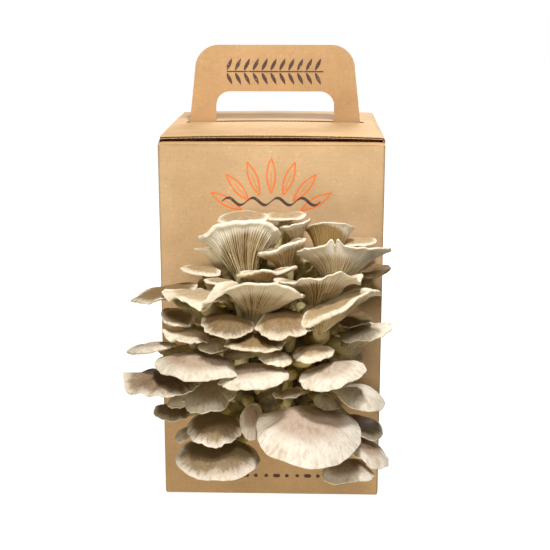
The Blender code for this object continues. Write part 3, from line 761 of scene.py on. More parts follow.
MUSHROOMS = {
    "top_mushroom_1": Growth(
        (-20, 19, 223.5), (18.5, 14), (-8, -12, 3), -1, 0.35, 7, (-12, 184), 4.5, 0.6, tone=1.15,
        outline=0.5, gills=0.3),
    "top_mushroom_2": Growth(
        (11, 16, 224.3), (15.5, 10), (4, -6, 3), -0.5, 0.35, 6, (4, 188), 4.5, 0.6, tone=1.0, outline=0.5,
        gills=0.3),
    "top_mushroom_3": Growth(
        (-20.5, 36, 211.5), (29, 19), (-12, 45, 7), 5, 0.35, 24, (-12, 174), 8.5, 1, tone=0.35, outline=0.6,
        rim=3.0, roll=2.2, gills=1.15, lip=(0.5, 185, 0.4),
        folds=((184, 22, -1.0, -0.07), (216, 20, 0, 0.4), (246, 20, 0, 0.35), (148, 18, -5.0, 0.05))),
    "top_mushroom_4": Growth(
        (18.5, 30, 218), (11.5, 10), (12, 14, 12), 3, 0.35, 8, (14, 182), 4, 0.8, gills=0.4,
        lip=(0.5, 0, 0)),
    "top_mushroom_5": Growth(
        (43, 24, 213), (18, 13), (12, 30, -3), 4, 0.35, 19, (27, 172), 7.5, 0.4, tone=1.5, outline=0.4,
        gills=0.5, lip=(0.88, 28, 0.5)),
    "top_mushroom_6": Growth(
        (10, 45, 206), (17, 11), (8, 12, 17), 3, 0.4, 13, (8, 164), 6, 1, tone=1.3, rim=2.1, gills=0.6,
        lip=(0.6, 0, 0)),
    "top_mushroom_7": Growth(
        (-42, 24, 200.5), (8.5, 13.5), (-72, 2, 12), 1, 0.9, 20, (-26, 162), 5, 0.3, rim=1.6, gills=0.1,
        lip=(0.1, 0, 0)),
    "top_mushroom_8": Growth(
        (51, 43, 201.2), (33, 16), (12, 24, -2), 4, 0.4, 19, (27, 164), 8, 1.2, rim=1.3, gills=0.6,
        lip=(0.45, 15, 0.35),
        folds=((109.5, 5, 5.5, 0), (105, 2, -4.5, 0.06), (100.5, 5, 4.5, 0), (160, 22, -1.0, 0))),
    "top_mushroom_9": Growth(
        (63.5, 17, 205.7), (14, 10), (20, -4, 2), -0.5, 0.4, 5, (36, 164), 3, 0.4, tone=1.0, outline=0.4),
    "top_mushroom_10": Growth(
        (75, 22, 184.5), (12, 11), (40, 6, 18), 1, 0.4, 6, (38, 154), 3.5, 0.6, tone=3.0, rim=1.8,
        lip=(0.95, 0, 0)),
    "upper_mushroom_1": Growth(
        (-49, 35, 189), (16, 11), (-30, -4, -2), -1, 0.5, 6, (-34, 158), 4, 0.5, tone=0.75),
    "upper_mushroom_2": Growth(
        (-34.5, 53, 184), (11.5, 7.5), (-20, -2, -4), 0, 0.5, 5, (-26, 158), 3.5, 0.5),
    "upper_mushroom_3": Growth(
        (-75, 38, 172), (29.5, 18), (-35, -12, 13), 0, 0.45, 8, (-40, 146), 5, 1.2, tone=1.2, outline=0.1,
        folds=((160, 12, -1.0, -0.12), (192, 14, 0, 0.06), (130, 14, 0, 0.08), (60, 25, 1.5, 0))),
    "upper_mushroom_4": Growth(
        (-50, 63.5, 177), (23.5, 14), (-25, -6, 0), 0, 0.5, 8, (-32, 150), 6, 2, tone=0.35, gills=0.4,
        folds=((62, 20, -6.0, 0), (112, 14, 2.5, 0), (150, 12, -1.5, 0))),
    "upper_mushroom_5": Growth(
        (-7, 75.5, 184), (34, 20), (-6, 24, -11), 6, 0.55, 18, (-10, 152), 7.5, 1.2, tone=0.2, rim=1.9,
        roll=1.2, lip=(0.46, 150, 0.32),
        folds=((152, 40, -27.0, -0.03), (15, 22, -2.0, 0))),
    "upper_mushroom_6": Growth(
        (-1.5, 58.5, 192), (21, 12), (2, 12, 7), 2, 0.7, 7, (-3, 166), 4, 1.5, rim=1.8, gills=0.5),
    "upper_mushroom_7": Growth(
        (35, 70, 188), (31, 18), (8, 14, 2), 4, 0.45, 16, (18, 150), 6.5, 2, roll=0.8, lip=(0.52, 0, 0.2),
        folds=((107, 9, 2.2, 0), (130, 12, -2.5, 0), (92, 8, -1.0, 0), (63, 16, 1.5, 0), (5, 18, -4.5, 0))),
    "upper_mushroom_8": Growth(
        (51, 74, 176), (12, 30), (115, 15, 4), 0, 0.6, 18, (30, 138), 6, 1.2, rim=1.8, lip=(0.6, 0, 0),
        folds=((90, 35, -5.0, 0), (262, 32, -6.0, 0), (215, 14, 1.2, 0), (142, 40, 6.5, 0))),
    "upper_mushroom_9": Growth(
        (12, 82, 165.5), (18.5, 17), (6, -22, 3), -4, 0.6, 8, (10, 140), 6.5, 1.2, tone=1.25,
        folds=((180, 12, 0, -0.08), (120, 12, -1.5, 0), (80, 12, 1.0, 0.03))),
    "upper_mushroom_10": Growth(
        (-27, 81, 164), (18.5, 14), (-10, -16, -9), -4, 0.6, 8, (-20, 140), 6.5, 1.2, tone=1.5,
        folds=((180, 12, 2.0, -0.05), (150, 10, -1.0, 0.06))),
    "upper_mushroom_11": Growth(
        (-64, 52, 155.5), (13, 12), (-30, -10, -10), 3.5, 0.5, 6, (-40, 136), 4.5, 1.2, tone=0.5, rim=1.6),
    "upper_mushroom_12": Growth(
        (-56.5, 65.5, 147.8), (17, 10), (-30, -8, -2), 0, 0.5, 6, (-38, 126), 5, 1.5, tone=-0.5,
        folds=((170, 20, 2.0, -0.1), (120, 14, -1.5, 0), (80, 14, 1.5, 0))),
    "upper_mushroom_13": Growth(
        (-9, 84, 150.5), (22, 12.5), (-4, -10, 0), -1, 0.6, 6, (0, 130), 6.5, 2, tone=1.2,
        folds=((130, 14, -2.0, 0), (95, 12, 2.0, 0), (60, 12, -2.0, 0.04))),
    "upper_mushroom_14": Growth(
        (-37.5, 70, 144.6), (11.5, 11), (-20, -10, 4), -2, 0.5, 5, (-24, 128), 5.5, 1, tone=-1.1),
    "upper_mushroom_15": Growth(
        (-19.5, 65.5, 137), (12, 8), (-10, -6, 4), -2, 0.6, 5, (-20, 118), 5.5, 0.8, tone=0.1),
    "upper_mushroom_16": Growth(
        (6, 83.5, 141), (11.5, 9.5), (-4, -14, -6), -3, 0.6, 5, (4, 118), 6, 1.2, tone=-1.3),
    "upper_mushroom_17": Growth(
        (31, 79, 143), (13.5, 11.5), (10, -14, 6), -3, 0.6, 6, (20, 122), 6, 1.2, tone=0.55),
    "upper_mushroom_18": Growth(
        (61, 42, 154), (15, 9.5), (40, -4, 4), 0, 0.5, 6, (42, 141), 3.5, 1, tone=2.5),
    "upper_mushroom_19": Growth(
        (69, 44.5, 147), (19.5, 14), (40, -2, 8), -1, 0.6, 16, (42, 130), 9, 1.2, tone=-0.5,
        folds=((0, 14, 0.5, -0.15),)),
    "upper_mushroom_20": Growth((60, 22, 125), (7, 11), (60, -24, 0), -2, 0.5, 4, (42, 110), 3.5, 0.6),
    "middle_mushroom_1": Growth(
        (-86, 46, 136), (26, 11.5), (-40, -4, 15), -3, 0.6, 6, (-43, 124), 4.5, 0.5, rim=1.8),
    "middle_mushroom_2": Growth(
        (-52, 76, 135), (30, 19), (-25, -14, 1), -6, 0.65, 9, (-28, 110), 6, 1, tone=0.7, outline=0.7,
        folds=((8, 16, 2.0, -0.14), (150, 25, -1.0, 0.03), (115, 14, 0, 0.03))),
    "middle_mushroom_3": Growth(
        (-75, 62, 115.5), (31, 20.5), (-35, -12, 2), -2, 0.6, 8, (-41, 112), 5.5, 2, tone=1.35,
        folds=((152, 12, 6.0, 0), (124, 9, -3.5, 0), (98, 12, 2.5, 0), (60, 16, -1.0, 0.04))),
    "middle_mushroom_4": Growth(
        (-11, 88, 129.6), (24.5, 15.5), (-4, -20, 8), -4.5, 0.65, 8, (-6, 106), 6.5, 0.8, tone=0.1,
        folds=((90, 40, 0, 0.08), (178, 16, -1.5, -0.04))),
    "middle_mushroom_5": Growth(
        (44.5, 84, 130), (22.5, 15.5), (14, -16, 11), -4, 0.65, 7, (26, 110), 6.5, 1.2, tone=0.15,
        folds=((170, 20, -1.0, 0), (75, 12, 1.2, 0), (105, 10, -1.0, 0.03))),
    "middle_mushroom_6": Growth(
        (67.5, 62, 108), (18, 16), (35, -20, -5), -6, 0.6, 7, (38, 100), 4.5, 0.8, tone=-2.0, outline=0.5),
    "middle_mushroom_7": Growth(
        (42, 62, 101), (9, 11), (20, -16, 0), -2, 0.6, 4, (30, 92), 3.5, 0.8, tone=-2.0),
    "middle_mushroom_8": Growth(
        (-63.5, 44, 97), (10.5, 12), (-35, -16, 0), -4, 0.55, 5, (-40, 90), 3.5, 1, tone=-1.5),
    "middle_mushroom_9": Growth(
        (-43, 66, 107), (20.5, 19), (-20, -18, 4), -3, 0.6, 6, (-30, 90), 4.5, 1.5, tone=-0.3),
    "middle_mushroom_10": Growth((15, 58, 103.5), (11, 10), (5, 0, 6), 1, 0.5, 6, (10, 86), 3.5, 1.2),
    "bottom_mushroom_1": Growth(
        (-72, 34, 83), (15, 12), (-50, -10, -6), -3, 0.55, 5, (-38, 78), 4, 0.8, tone=1.25),
    "bottom_mushroom_2": Growth(
        (-39.5, 70, 84.5), (20, 18), (-20, -20, 0), -4, 0.6, 7, (-24, 72), 5, 1.5, tone=1.25,
        folds=((100, 12, 0, 0.05), (60, 14, 0, -0.03), (140, 12, 1.0, 0.04), (310, 30, 0, -0.12),
               (230, 30, 0, -0.15))),
    "bottom_mushroom_3": Growth(
        (-11.5, 72, 88.5), (7.5, 14.5), (0, -45, 0), -2, 0.6, 4, (-6, 76), 4, 0.6, tone=0.1),
    "bottom_mushroom_4": Growth(
        (-63, 40, 67), (6.5, 9), (-40, -26, 0), -2, 0.5, 3, (-34, 66), 3.5, 0.6, tone=-1.0),
    "bottom_mushroom_5": Growth(
        (-37, 74, 64.5), (30.5, 20.5), (-14, -24, 0), -6, 0.65, 9, (-18, 58), 6.5, 1, tone=1.3,
        outline=0.25,
        folds=((30, 22, 1.0, 0), (305, 30, 0, -0.1), (232, 30, 0, -0.12))),
    "bottom_mushroom_6": Growth(
        (30, 89, 91.5), (37, 29), (10, -26, 0), -9, 0.7, 9, (12, 72), 8.5, 0.8, tone=0.2, outline=0.35,
        roll=2.0,
        folds=((212, 16, 6.0, -0.06), (188, 9, -3.0, 0.02), (130, 24, 0, 0.05), (60, 20, 0, -0.02))),
    "bottom_mushroom_7": Growth(
        (73, 58, 64.5), (15, 17), (50, -30, -6), -4, 0.6, 5, (34, 72), 4.5, 1,
        folds=((20, 10, 0, -0.18), (50, 8, 1.5, 0.05), (125, 25, 0, -0.14))),
    "bottom_mushroom_8": Growth(
        (56.5, 71, 54.5), (18, 13), (20, -22, 2), -5, 0.6, 5, (20, 58), 4.5, 0.8,
        folds=((90, 30, 0, 0.05), (0, 18, 0, 0.2), (42, 18, 0, -0.2), (-42, 18, 0, -0.18))),
    "bottom_mushroom_9": Growth(
        (69.5, 48, 78.5), (16, 15), (50, -18, -4), -3, 0.6, 5, (38, 86), 4.5, 0.8, tone=1.3),
}


def smooth(values, low, high):
    """0 below low, 1 above high, and an S-shaped rise between."""
    share = np.clip((values - low) / (high - low), 0, 1)
    return share * share * (3 - 2 * share)


def bell(turn, place, spread):
    """A bell curve of the turn round a place, both ways, with the place and the half width in degrees."""
    away = (np.degrees(turn) - place + 180) % 360 - 180
    return np.exp(-(away / spread) ** 2)


def sines(turn, sizes, rates, phases):
    return sum(size * np.sin(rate * turn + phase) for size, rate, phase in zip(sizes, rates, phases))


def unit(vector):
    return vector / np.linalg.norm(vector, axis=-1, keepdims=True)


def swung(first, second, angle):
    """Two directions at right angles, turned in their plane by an angle, the first towards the second."""
    return (first * math.cos(angle) + second * math.sin(angle),
            second * math.cos(angle) - first * math.sin(angle))


def cap_axes(turn):
    """Three directions of a turned cap: across to its right, forward to its front edge, and up out of it."""
    heading, lift, lean = (math.radians(angle) for angle in turn)
    across = np.array((math.cos(heading), math.sin(heading), 0.0))
    forward = np.array((math.sin(heading), -math.cos(heading), 0.0))
    up = np.array((0.0, 0.0, 1.0))
    forward, up = swung(forward, up, lift)
    across, up = swung(across, up, lean)
    return across, forward, up


def root_on_knot(x, z):
    """The point in front of the wall where the knot's surface has this x and z, and its outward normal."""
    half_x, reach, half_z = KNOT_HALF
    across, high = x / half_x, (z - WINDOW_Z) / half_z
    too_far = max(1.0, math.hypot(across, high) / 0.98)
    across, high = across / too_far, high / too_far
    outward = math.sqrt(1 - across ** 2 - high ** 2)
    point = np.array((across * half_x, FRONT - outward * reach, WINDOW_Z + high * half_z))
    return point, unit(np.array((across / half_x, -outward / reach, high / half_z)))


def grown(growth, usual_roll, order):
    """A mushroom's skin: rings of points up its stem, out along its gills, round its rim and in over its top.

    The stem's middle line is a cubic Bezier curve.  It leaves the knot along the knot's normal and meets the
    cap along the neck's axis, which leans from the cap's axis towards the root.  The cap is a sheet over an
    ellipse whose middle lies in front of the stem.  A dome falls by the square of the distance from the
    ellipse's middle, a cup rises by the square of the share of the way from the stem to the rim, and the last
    part of the way rolls down by a square as well.  Lobes and notches of the outline, and waves, ripples and
    pleats of its height, are sines of the turn, and folds are bell curves of it.  The gills are thin ridges
    under the sheet on every fourth column.  Every second one of them starts on the stem, the others further
    out, and all sink into the pale band next to the rim."""
    chance = np.random.default_rng(order)
    half_width, half_length = growth.half
    girth = 2 * math.pi * math.sqrt((half_width ** 2 + half_length ** 2) / 2)
    full_gills = max(9, round(girth / (2 * GILL_PITCH)))
    every_gill = full_gills * 2
    gill_columns = GILL_COLUMNS // 2
    columns = full_gills * GILL_COLUMNS
    number = np.arange(columns)
    kind = number % GILL_COLUMNS
    bends = chance.normal(0, 0.35, every_gill)
    turn = 2 * math.pi * (number + np.interp(number, np.arange(every_gill) * gill_columns, bends,
                                             period=columns)) / columns
    cosine, sine = np.cos(turn), np.sin(turn)
    phases = order * np.array((2.4, 1.7, 3.1))
    fine_phases = chance.uniform(0, 2 * math.pi, 8)
    pleat_phases = chance.uniform(0, 2 * math.pi, 4)
    lobes = 1 + sines(turn, (0.05, 0.05), (2, 3), phases) * growth.outline
    notches = sines(turn, (0.018, 0.016, 0.013, 0.009, 0.006), (6, 9, 14, 22, 31), fine_phases)
    notches = notches * growth.outline * min(1.0, 0.4 + growth.ruffle / 2)
    waves = growth.ruffle * sines(turn, (0.6, 0.5), (3, 5), phases[1:])
    ripples = sines(turn, (0.30, 0.22, 0.16), (8, 13, 21), fine_phases[5:])
    ripples = ripples * growth.ruffle * (0.45 if growth.cup < 0 else 1.0)
    pleats = sines(turn, (0.08, 0.08, 0.06, 0.045), (12, 19, 29, 43), pleat_phases)
    pleats = pleats * min(1.2, 0.3 + growth.ruffle / 2) * half_length / 16
    rise, pull = np.zeros(columns), np.zeros(columns)
    for place, spread, height, shrink in growth.folds:
        fold = bell(turn, place, spread)
        rise, pull = rise + height * fold, pull + shrink * fold

    across, forward, up = cap_axes(growth.turn)
    x, out, z = growth.middle
    set_back = growth.back * half_length
    centre = np.array((x, FRONT - out, z)) - forward * set_back
    outline_x = half_width * cosine * (lobes + notches - pull)
    outline_y = set_back + half_length * sine * (lobes + notches - pull)
    roll = usual_roll * half_length / ROLL_LENGTH if growth.roll is None else growth.roll
    dents = chance.uniform(-0.5, 0.5, (4, 2)), chance.uniform(0, 2 * math.pi, 4)

    def flat(share):
        return ((1 - share) * growth.stem * cosine + share * outline_x,
                (1 - share) * growth.stem * sine + share * outline_y)

    def sheet_height(share, flat_x, flat_y):
        if growth.cup < 0:
            base = growth.cup * ((flat_x / half_width) ** 2 + ((flat_y - set_back) / half_length) ** 2)
        else:
            base = growth.cup * share ** 2
        lumps = sum(np.sin(flat_x * rate[0] + flat_y * rate[1] + phase) for rate, phase in zip(*dents))
        return (base + (waves + rise) * share ** 3 + ripples * share ** 6 + 0.16 * lumps
                + pleats * smooth(share, 0.45, 0.95)
                - roll * np.clip((share - ROLL_START) / (1 - ROLL_START), 0, 1) ** 2)

    def on_cap(flat_x, flat_y, height):
        return centre + flat_x[..., None] * across + flat_y[..., None] * forward + height[..., None] * up

    middle_height = sheet_height(0.0, np.zeros(1), np.zeros(1)).mean()

    late = np.repeat(chance.uniform(-0.12, 0.12, full_gills), GILL_COLUMNS) * (kind == gill_columns)
    starts = np.where(abs(kind - gill_columns) <= 1, SHORT_GILL_START + late, -1.0)
    blade = np.where(kind % gill_columns == 0, 1.0, np.where(kind % 2 == 1, GILL_SIDE, 0.0))
    tall = blade * np.repeat(chance.uniform(0.7, 1.15, every_gill), gill_columns)

    root, normal = root_on_knot(*growth.root)
    root = root - normal * ROOT_SUNK
    neck_axis = unit(up - NECK_LEAN * unit(root - centre))
    stem_top = centre - growth.neck * neck_axis
    length = np.linalg.norm(stem_top - root)
    line = (stem_top, stem_top - neck_axis * 0.25 * length, root + normal * 0.33 * length, root)
    part = np.linspace(1, 0, STEM_RINGS, endpoint=False)[:, None]
    rest = 1 - part
    middle = (rest ** 3 * line[0] + 3 * rest ** 2 * part * line[1] + 3 * rest * part ** 2 * line[2]
              + part ** 3 * line[3])
    along = -unit(3 * rest ** 2 * (line[1] - line[0]) + 6 * rest * part * (line[2] - line[1])
                  + 3 * part ** 2 * (line[3] - line[2]))
    side = unit(across - along * (along @ across)[:, None])
    other = np.cross(side, along)
    swell = 0.06 * np.sin(2 * turn + phases[1]) + 0.04 * np.sin(3 * turn + 4 * part + phases[0])
    radius = growth.stem * (0.88 + 0.18 * part + 0.45 * smooth(part, 0.72, 1.0) ** 2 + swell)
    on_stem = tall * (kind == 0) + GILL_SIDE * tall * ((kind == 1) | (kind == GILL_COLUMNS - 1)) - 0.3
    radius = radius + 0.45 * on_stem * smooth(part, 0.55, 0.0)
    stem = (middle[:, None] + (radius * cosine)[..., None] * side[:, None]
            + (radius * sine)[..., None] * other[:, None])

    thick, rounding = RIM * growth.rim, RIM_RADIUS * growth.rim
    edge_share = 1 - rounding / half_length
    share = (np.linspace(0, 1, GILL_RINGS) ** 0.85)[:, None] * edge_share
    flesh = thick + (growth.neck + middle_height - thick) * (1 - share) ** FLARE
    started = tall * smooth(share - starts, 0.0, 0.12)
    lip, widest, wider = growth.lip
    lips = lip - wider * bell(turn, widest, LIP_SPREAD)
    depth = (growth.gills * GILL_DEPTH * min(1.0, 0.55 + half_length / 40) * smooth(share, -0.2, 0.3)
             * smooth(share, 0.97, 0.72) * (1 - 0.8 * smooth(share, lips, lips + 0.28)))
    flat_x, flat_y = flat(share)
    hang = (flesh + depth * (started - 0.35))[..., None]
    lean = ((1 - share) ** 2)[..., None]
    sheet = on_cap(flat_x, flat_y, sheet_height(share, flat_x, flat_y))
    under = sheet - hang * (up * (1 - lean) + neck_axis * lean)

    bend = np.linspace(-75, 75, RIM_RINGS)[:, None]
    edge = np.hypot(outline_x, outline_y - set_back)
    edge_x, edge_y = flat(edge_share)
    reach = rounding * np.cos(np.radians(bend))
    edge_height = sheet_height(edge_share, edge_x, edge_y) - thick / 2 * (1 - np.sin(np.radians(bend)))
    rim = on_cap(edge_x + reach * outline_x / edge, edge_y + reach * (outline_y - set_back) / edge,
                 edge_height)

    top_share = (1 - np.linspace(0, 1, TOP_RINGS + 1)[:-1] ** 0.9)[:, None] * edge_share
    top_x, top_y = top_share * outline_x, top_share * outline_y
    furrows = np.repeat(chance.uniform(0, 1, every_gill), gill_columns) * (kind % gill_columns == 2)
    furrow = 0.07 * smooth(top_share, 0.35, 0.9) * furrows
    top = on_cap(top_x, top_y, sheet_height(top_share, top_x, top_y) - furrow)

    gaps = np.repeat(chance.uniform(0.35, 1.0, every_gill), gill_columns)
    shares = np.concatenate((0 * part, share, np.ones((RIM_RINGS, 1)), top_share)) + np.zeros(columns)
    stems = np.zeros_like(shares)
    stems[:STEM_RINGS] = part
    tops = np.zeros_like(shares)
    tops[-RIM_RINGS - TOP_RINGS:-TOP_RINGS] = (bend + 75) / 150
    tops[-TOP_RINGS:] = 1
    # Painted shade in the folds between the gills and between their ridges on the upper stem, darker or
    # lighter gill by gill.
    painted_gill_shade = np.zeros_like(shares)
    painted_gill_shade[:STEM_RINGS] = 0.45 * (1 - tall * (kind == 0)) * smooth(part, 0.5, 0.0)
    painted_gill_shade[STEM_RINGS:STEM_RINGS + GILL_RINGS] = np.clip(1 - started, 0, 1) * smooth(share, 1.0, 0.75)
    spread = girth / 40 * (0.25 + 0.75 * shares)
    flow = np.stack((cosine * spread, sine * spread, (shares + stems) * half_length / 45 + order * 5.3), -1)
    fields = {"share": shares, "stem": stems, "top": tops, "painted_gill_shade": growth.gills * gaps * painted_gill_shade,
              "flow": flow, "lip": lips + 0 * shares}
    return np.concatenate((stem, under, rim, top)), root, centre + up * middle_height, fields


class Level(NamedTuple):
    """What the mushrooms of one level of the cluster have in common."""
    slot: str              # the record's slot for their flesh
    # Partly the crowns' own colour and partly painted shade.
    tone: float            # how dark a crown is
    roll: float            # how far an edge turns down, on a cap of ROLL_LENGTH
    pale_crown: tuple
    dark_crown: tuple
    margin: tuple          # of the top, and the pale band of the underside
    gill: tuple
    # Painted shade in the folds between the gills.
    fold: tuple            # between the gills


LEVELS = {
    "top": Level("white_gilled_flesh", 0.4, 0.5, srgb(222, 206, 176), srgb(186, 164, 130),
                 srgb(240, 234, 218), srgb(206, 188, 152), srgb(98, 72, 34)),
    "upper": Level("cream_flesh", 0.7, 0.9, srgb(206, 188, 158), srgb(156, 130, 92),
                   srgb(232, 222, 202), srgb(194, 173, 134), srgb(112, 84, 42)),
    "middle": Level("pink_grey_flesh", 0.4, 0.9, srgb(204, 189, 172), srgb(172, 149, 128),
                    srgb(232, 225, 210), srgb(190, 168, 124), srgb(108, 82, 44)),
    "bottom": Level("grey_flesh", 0.4, 0.9, srgb(204, 184, 170), srgb(164, 142, 110),
                    srgb(238, 231, 220), srgb(190, 170, 128), srgb(108, 84, 48)),
}
STEM_CREAM = srgb(218, 207, 160)
# Olive crown above a tone of 1: partly the cap's own colour, partly painted shade.
OLIVE_CROWN_AND_SHADE = srgb(116, 96, 64)


def flesh_finish(level):
    """Mushroom flesh.  On top, a crown between pale and dark, and at last olive, by the mushroom's tone,
    which paints shade on some caps and light on others.  It fades to a light margin, the later the darker it
    is, with radial fibres, specks and blotches.  The dark crown is partly the cap's own colour and partly
    painted shade where the caps above shade its back.  Below, tan gills with brown painted shade in the folds
    between them, a pale band next to the rim that is partly paler flesh and partly painted light through the
    thin edge, and a greenish stem that is darker towards its root, as painted shade deep in the cluster."""
    finish = Finish(level.slot, Specular_IOR_Level=0.3, Subsurface_Weight=0.1,
                    Subsurface_Radius=(1.0, 0.8, 0.6), Subsurface_Scale=0.003)
    flow = finish.field("flow", "Vector")
    share, tone, root = finish.field("share"), finish.field("tone"), finish.field("stem")
    streaks = finish.noise(flow, 2.4, 2.0, 0.5)
    fine = finish.noise(flow, 10.0, 2.0, 0.5)
    blotches = finish.noise(finish.place(), 60.0, 3.0, 0.5)
    olive = (tone - 1.0).ramp(0.0, 0.5)

    crown = finish.mix(tone.math("MINIMUM", tone, 1.0), level.pale_crown, level.dark_crown)
    crown = finish.mix(olive * 0.8, crown, OLIVE_CROWN_AND_SHADE)
    # A late fade keeps the back of the cap dark: partly its own colour, partly painted shade from the caps
    # above.
    fade = (share + (streaks - 0.5) * 0.35 + (blotches - 0.5) * 0.2 - tone * 0.2).ramp(0.5, 0.76)
    skin = finish.mix(fade, crown, level.margin)
    skin = finish.mix(streaks.ramp(0.44, 0.70) * 0.55, skin, srgb(214, 194, 182), "MULTIPLY")
    skin = finish.mix(fine.ramp(0.5, 0.68) * share.ramp(0.3, 0.9) * 0.15, skin, level.margin)
    skin = finish.mix(fine.ramp(0.46, 0.34) * 0.2, skin, srgb(206, 188, 168), "MULTIPLY")
    skin = finish.mix(blotches.ramp(0.54, 0.70) * 0.25, skin, srgb(218, 206, 180), "MULTIPLY")

    neck = tuple((np.array(STEM_CREAM) + level.gill) / 2)
    below = finish.mix(share.ramp(0.0, 0.30), neck, level.gill)
    # A low tone pales the underside as painted light, and an olive one darkens it as painted shade.
    below = finish.mix(tone.ramp(0.35, 0.0) * 0.6, below, level.margin)
    below = finish.mix(olive, below, srgb(204, 186, 150), "MULTIPLY")
    # The pale band next to the rim is partly paler flesh and partly painted light through the thin edge.
    band = (share + (streaks - 0.5) * 0.25 - finish.field("lip")).ramp(0.0, 0.28)
    # The brown between the gills is painted shade in their folds, fainter in the pale band.
    folds = finish.field("painted_gill_shade") * (1.0 + (fine - 0.5) * 1.2 + (streaks - 0.5) * 1.4) * (1.0 - band * 0.65)
    below = finish.mix(folds.math("MAXIMUM", folds, 0.0), finish.mix(band, below, level.margin), level.fold)
    # The stem darkens towards its root as painted shade deep in the cluster.
    stalk = finish.mix(root.ramp(0.2, 0.9), STEM_CREAM, srgb(208, 194, 138), "MULTIPLY")
    stalk = finish.mix(fine.ramp(0.5, 0.7) * 0.3, stalk, srgb(222, 214, 176))
    below = finish.mix(root.ramp(0.0, 0.3), below, stalk)

    height = streaks * 0.7 + fine * 0.5 + blotches * 0.8
    finish.set(Base_Color=finish.mix(finish.field("top"), below, skin), Roughness=0.62 - streaks * 0.2,
               Normal=finish.bumped(height, 0.35, 0.7))
    return finish


def make_mushroom(name, growth, order, level, finish):
    rings, root, centre, fields = grown(growth, level.roll, order)
    points, quads, fans = closed_rings(rings, root, centre)
    ends = {"share": (0, 0), "stem": (1, 0), "top": (0, 1), "painted_gill_shade": (0, 0), "lip": (1, 1)}
    values = {key: np.concatenate((fields[key].ravel(), ends[key])) for key in ends}
    flow = fields["flow"].reshape(-1, 3)
    values["flow"] = np.concatenate((flow, flow[[0, -1]]))
    usual = level.tone + np.random.default_rng(1000 + order).uniform(-0.15, 0.15)
    values["tone"] = np.full(len(points), usual if growth.tone is None else growth.tone)
    piece = piece_of(name + "_grown", [(points, quads)], [finish], fans=fans, crease=40, fields=values)
    stand_for(piece, name)


finishes = {name: flesh_finish(level) for name, level in LEVELS.items()}
for order, (name, growth) in enumerate(MUSHROOMS.items(), start=1):
    level = name.split("_")[0]
    make_mushroom(name, growth, order, LEVELS[level], finishes[level])


# Cluster base: the knot where all the stems join, half an egg shape of firm flesh that fills the window and
# swells where each stem leaves it.  Small pins that never opened stand in its gaps.
KNOT_COLUMNS, KNOT_ROWS = 180, 80
KNOT_SWELL = 3.0
KNOT_PROUD = 0.4           # how far its widest ring lies before the wall, and its back before the block
NECK_SLACK = 2.0           # between the neck and the window's edge
PIN_TURNS, PIN_RINGS = 18, 16
# Pins: root x and z, length, radius, and how far the tip leans right and up.
PINS = (
    (-30, 172, 24, 3.0, -0.2, 0.9), (-22, 160, 26, 3.4, -0.3, 0.7), (-4, 178, 20, 2.8, 0.0, 0.9),
    (8, 170, 26, 3.2, 0.2, 0.9), (20, 168, 26, 3.0, 0.3, 0.8), (30, 158, 28, 3.4, 0.4, 0.7),
    (38, 148, 28, 3.0, 0.6, 0.5), (-38, 152, 26, 3.2, -0.6, 0.5), (-40, 138, 24, 3.0, -0.7, 0.3),
    (-18, 146, 30, 3.6, -0.2, 0.5), (2, 150, 30, 3.4, 0.1, 0.6), (19, 144, 20, 3.0, 0.2, 0.5),
    (-30, 130, 26, 3.2, -0.4, 0.2), (-10, 134, 28, 3.0, 0.0, 0.4), (14, 128, 30, 3.4, 0.1, 0.4),
    (32, 128, 26, 3.4, 0.5, 0.2), (41, 122, 22, 2.8, 0.7, 0.2), (-36, 112, 24, 3.0, -0.5, 0.1),
    (-18, 112, 28, 3.2, -0.1, 0.2), (2, 112, 30, 3.6, 0.0, 0.3), (18, 108, 28, 3.2, 0.3, 0.3),
    (33, 106, 24, 3.0, 0.5, 0.1), (-30, 98, 22, 3.0, -0.4, 0.1), (-8, 96, 26, 3.4, 0.0, 0.2),
    (12, 92, 28, 3.2, 0.0, 0.3), (26, 92, 24, 3.0, 0.4, 0.2), (-26, 84, 22, 2.8, -0.4, 0.0),
    (-10, 78, 22, 3.0, -0.1, 0.1), (8, 78, 20, 3.0, 0.2, 0.0), (24, 76, 20, 2.8, 0.5, 0.0),
)


def pin(x, z, length, radius, right, rise):
    """A pin as rings along a straight line from the knot, a little wider at the root, drawn in at the neck,
    with a round head whose radius follows a half circle."""
    root, normal = root_on_knot(x, z)
    line = unit(0.55 * normal + np.array((0.6 * right, 0.0, rise + 0.5)))
    side = unit(np.cross(line, (0.0, 0.0, 1.0)))
    other = np.cross(line, side)
    share = np.linspace(0, 1, PIN_RINGS)[:, None]
    turn = 2 * math.pi * np.arange(PIN_TURNS) / PIN_TURNS
    head = np.clip((share - 0.72) / 0.28, 0, 1)
    width = radius * (1.0 + 0.5 * (1 - share) ** 3 - 0.25 * smooth(share, 0.3, 0.72)
                      + 0.75 * smooth(share, 0.70, 0.80))
    width = (width * np.sqrt(1 - head ** 4) + 0.02) * (1 + 0.06 * np.sin(3 * turn + x))
    middle = root - normal * ROOT_SUNK + line * (length + ROOT_SUNK) * share
    points = (middle[:, None, :] + (width * np.cos(turn))[..., None] * side
              + (width * np.sin(turn))[..., None] * other).reshape(-1, 3)
    return points, grid_quads(PIN_RINGS, PIN_TURNS, around=True)


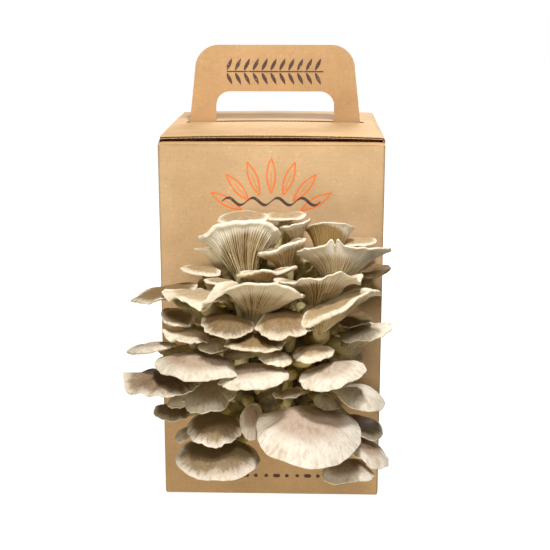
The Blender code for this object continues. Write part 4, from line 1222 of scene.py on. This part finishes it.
def lumpy_finish(name, scale, dark, light, relief):
    """Firm young flesh: lumps that are lighter where they stand up, with painted shade in the hollows between
    them.
    """
    finish = Finish(name, Roughness=0.6, Specular_IOR_Level=0.3)
    lumps = finish.noise(finish.place(), scale, 4.0, 0.6)
    finish.set(Base_Color=finish.mix(lumps.ramp(0.35, 0.65), dark, light),
               Normal=finish.bumped(lumps, relief))
    return finish


def make_knot():
    """Rings of an ellipsoid in front of the wall, pushed out along its normal by a bell curve of the distance
    from each root, and two rings of its neck back to the block."""
    half_x, reach, half_z = KNOT_HALF
    front, back = FRONT - KNOT_PROUD, BLOCK_LOW[1] - KNOT_PROUD
    turn = 2 * math.pi * np.arange(KNOT_COLUMNS) / KNOT_COLUMNS
    tilt = np.linspace(0, math.pi / 2, KNOT_ROWS)[1:, None]
    across, high, outward = np.sin(tilt) * np.cos(turn), np.sin(tilt) * np.sin(turn), np.cos(tilt)
    surface = np.stack(np.broadcast_arrays(half_x * across, front - reach * outward,
                                           WINDOW_Z + half_z * high), -1)
    normal = unit(np.stack(np.broadcast_arrays(across / half_x, -outward / reach, high / half_z), -1))
    swell = np.zeros(surface.shape[:2])
    for growth in MUSHROOMS.values():
        away = np.linalg.norm(surface - root_on_knot(*growth.root)[0], axis=-1)
        swell = np.maximum(swell, KNOT_SWELL * np.exp(-(away / (growth.stem * 1.5)) ** 2))
    surface = surface + normal * (swell * smooth(outward, 0.0, 0.2))[..., None]
    neck_x, neck_z = WINDOW_HALF[0] - NECK_SLACK, WINDOW_HALF[1] - NECK_SLACK
    neck = np.stack(np.broadcast_arrays(neck_x * np.cos(turn), np.array(((front,), (back,))),
                                        WINDOW_Z + neck_z * np.sin(turn)), -1)
    points, quads, fans = closed_rings(np.concatenate((surface, neck)), (0, front - reach, WINDOW_Z),
                                       (0, back, WINDOW_Z))
    # The knot's dark olive-brown is partly its own colour and partly painted shade for the deep gaps between
    # the stems.
    flesh = lumpy_finish("knot_flesh_and_shade", 140.0, srgb(74, 62, 38), srgb(128, 114, 74), 0.8)
    young = lumpy_finish("young_flesh", 110.0, srgb(158, 144, 96), srgb(200, 187, 138), 0.5)
    # The rings turn the other way than a mushroom's, so their faces are turned over.
    piece = piece_of("cluster_knot", [(points, quads[:, ::-1]), *(pin(*place) for place in PINS)],
                     [flesh] + [young] * len(PINS), fans=fans[:, ::-1], crease=60)
    stand_for(piece, "cluster_base")


make_knot()
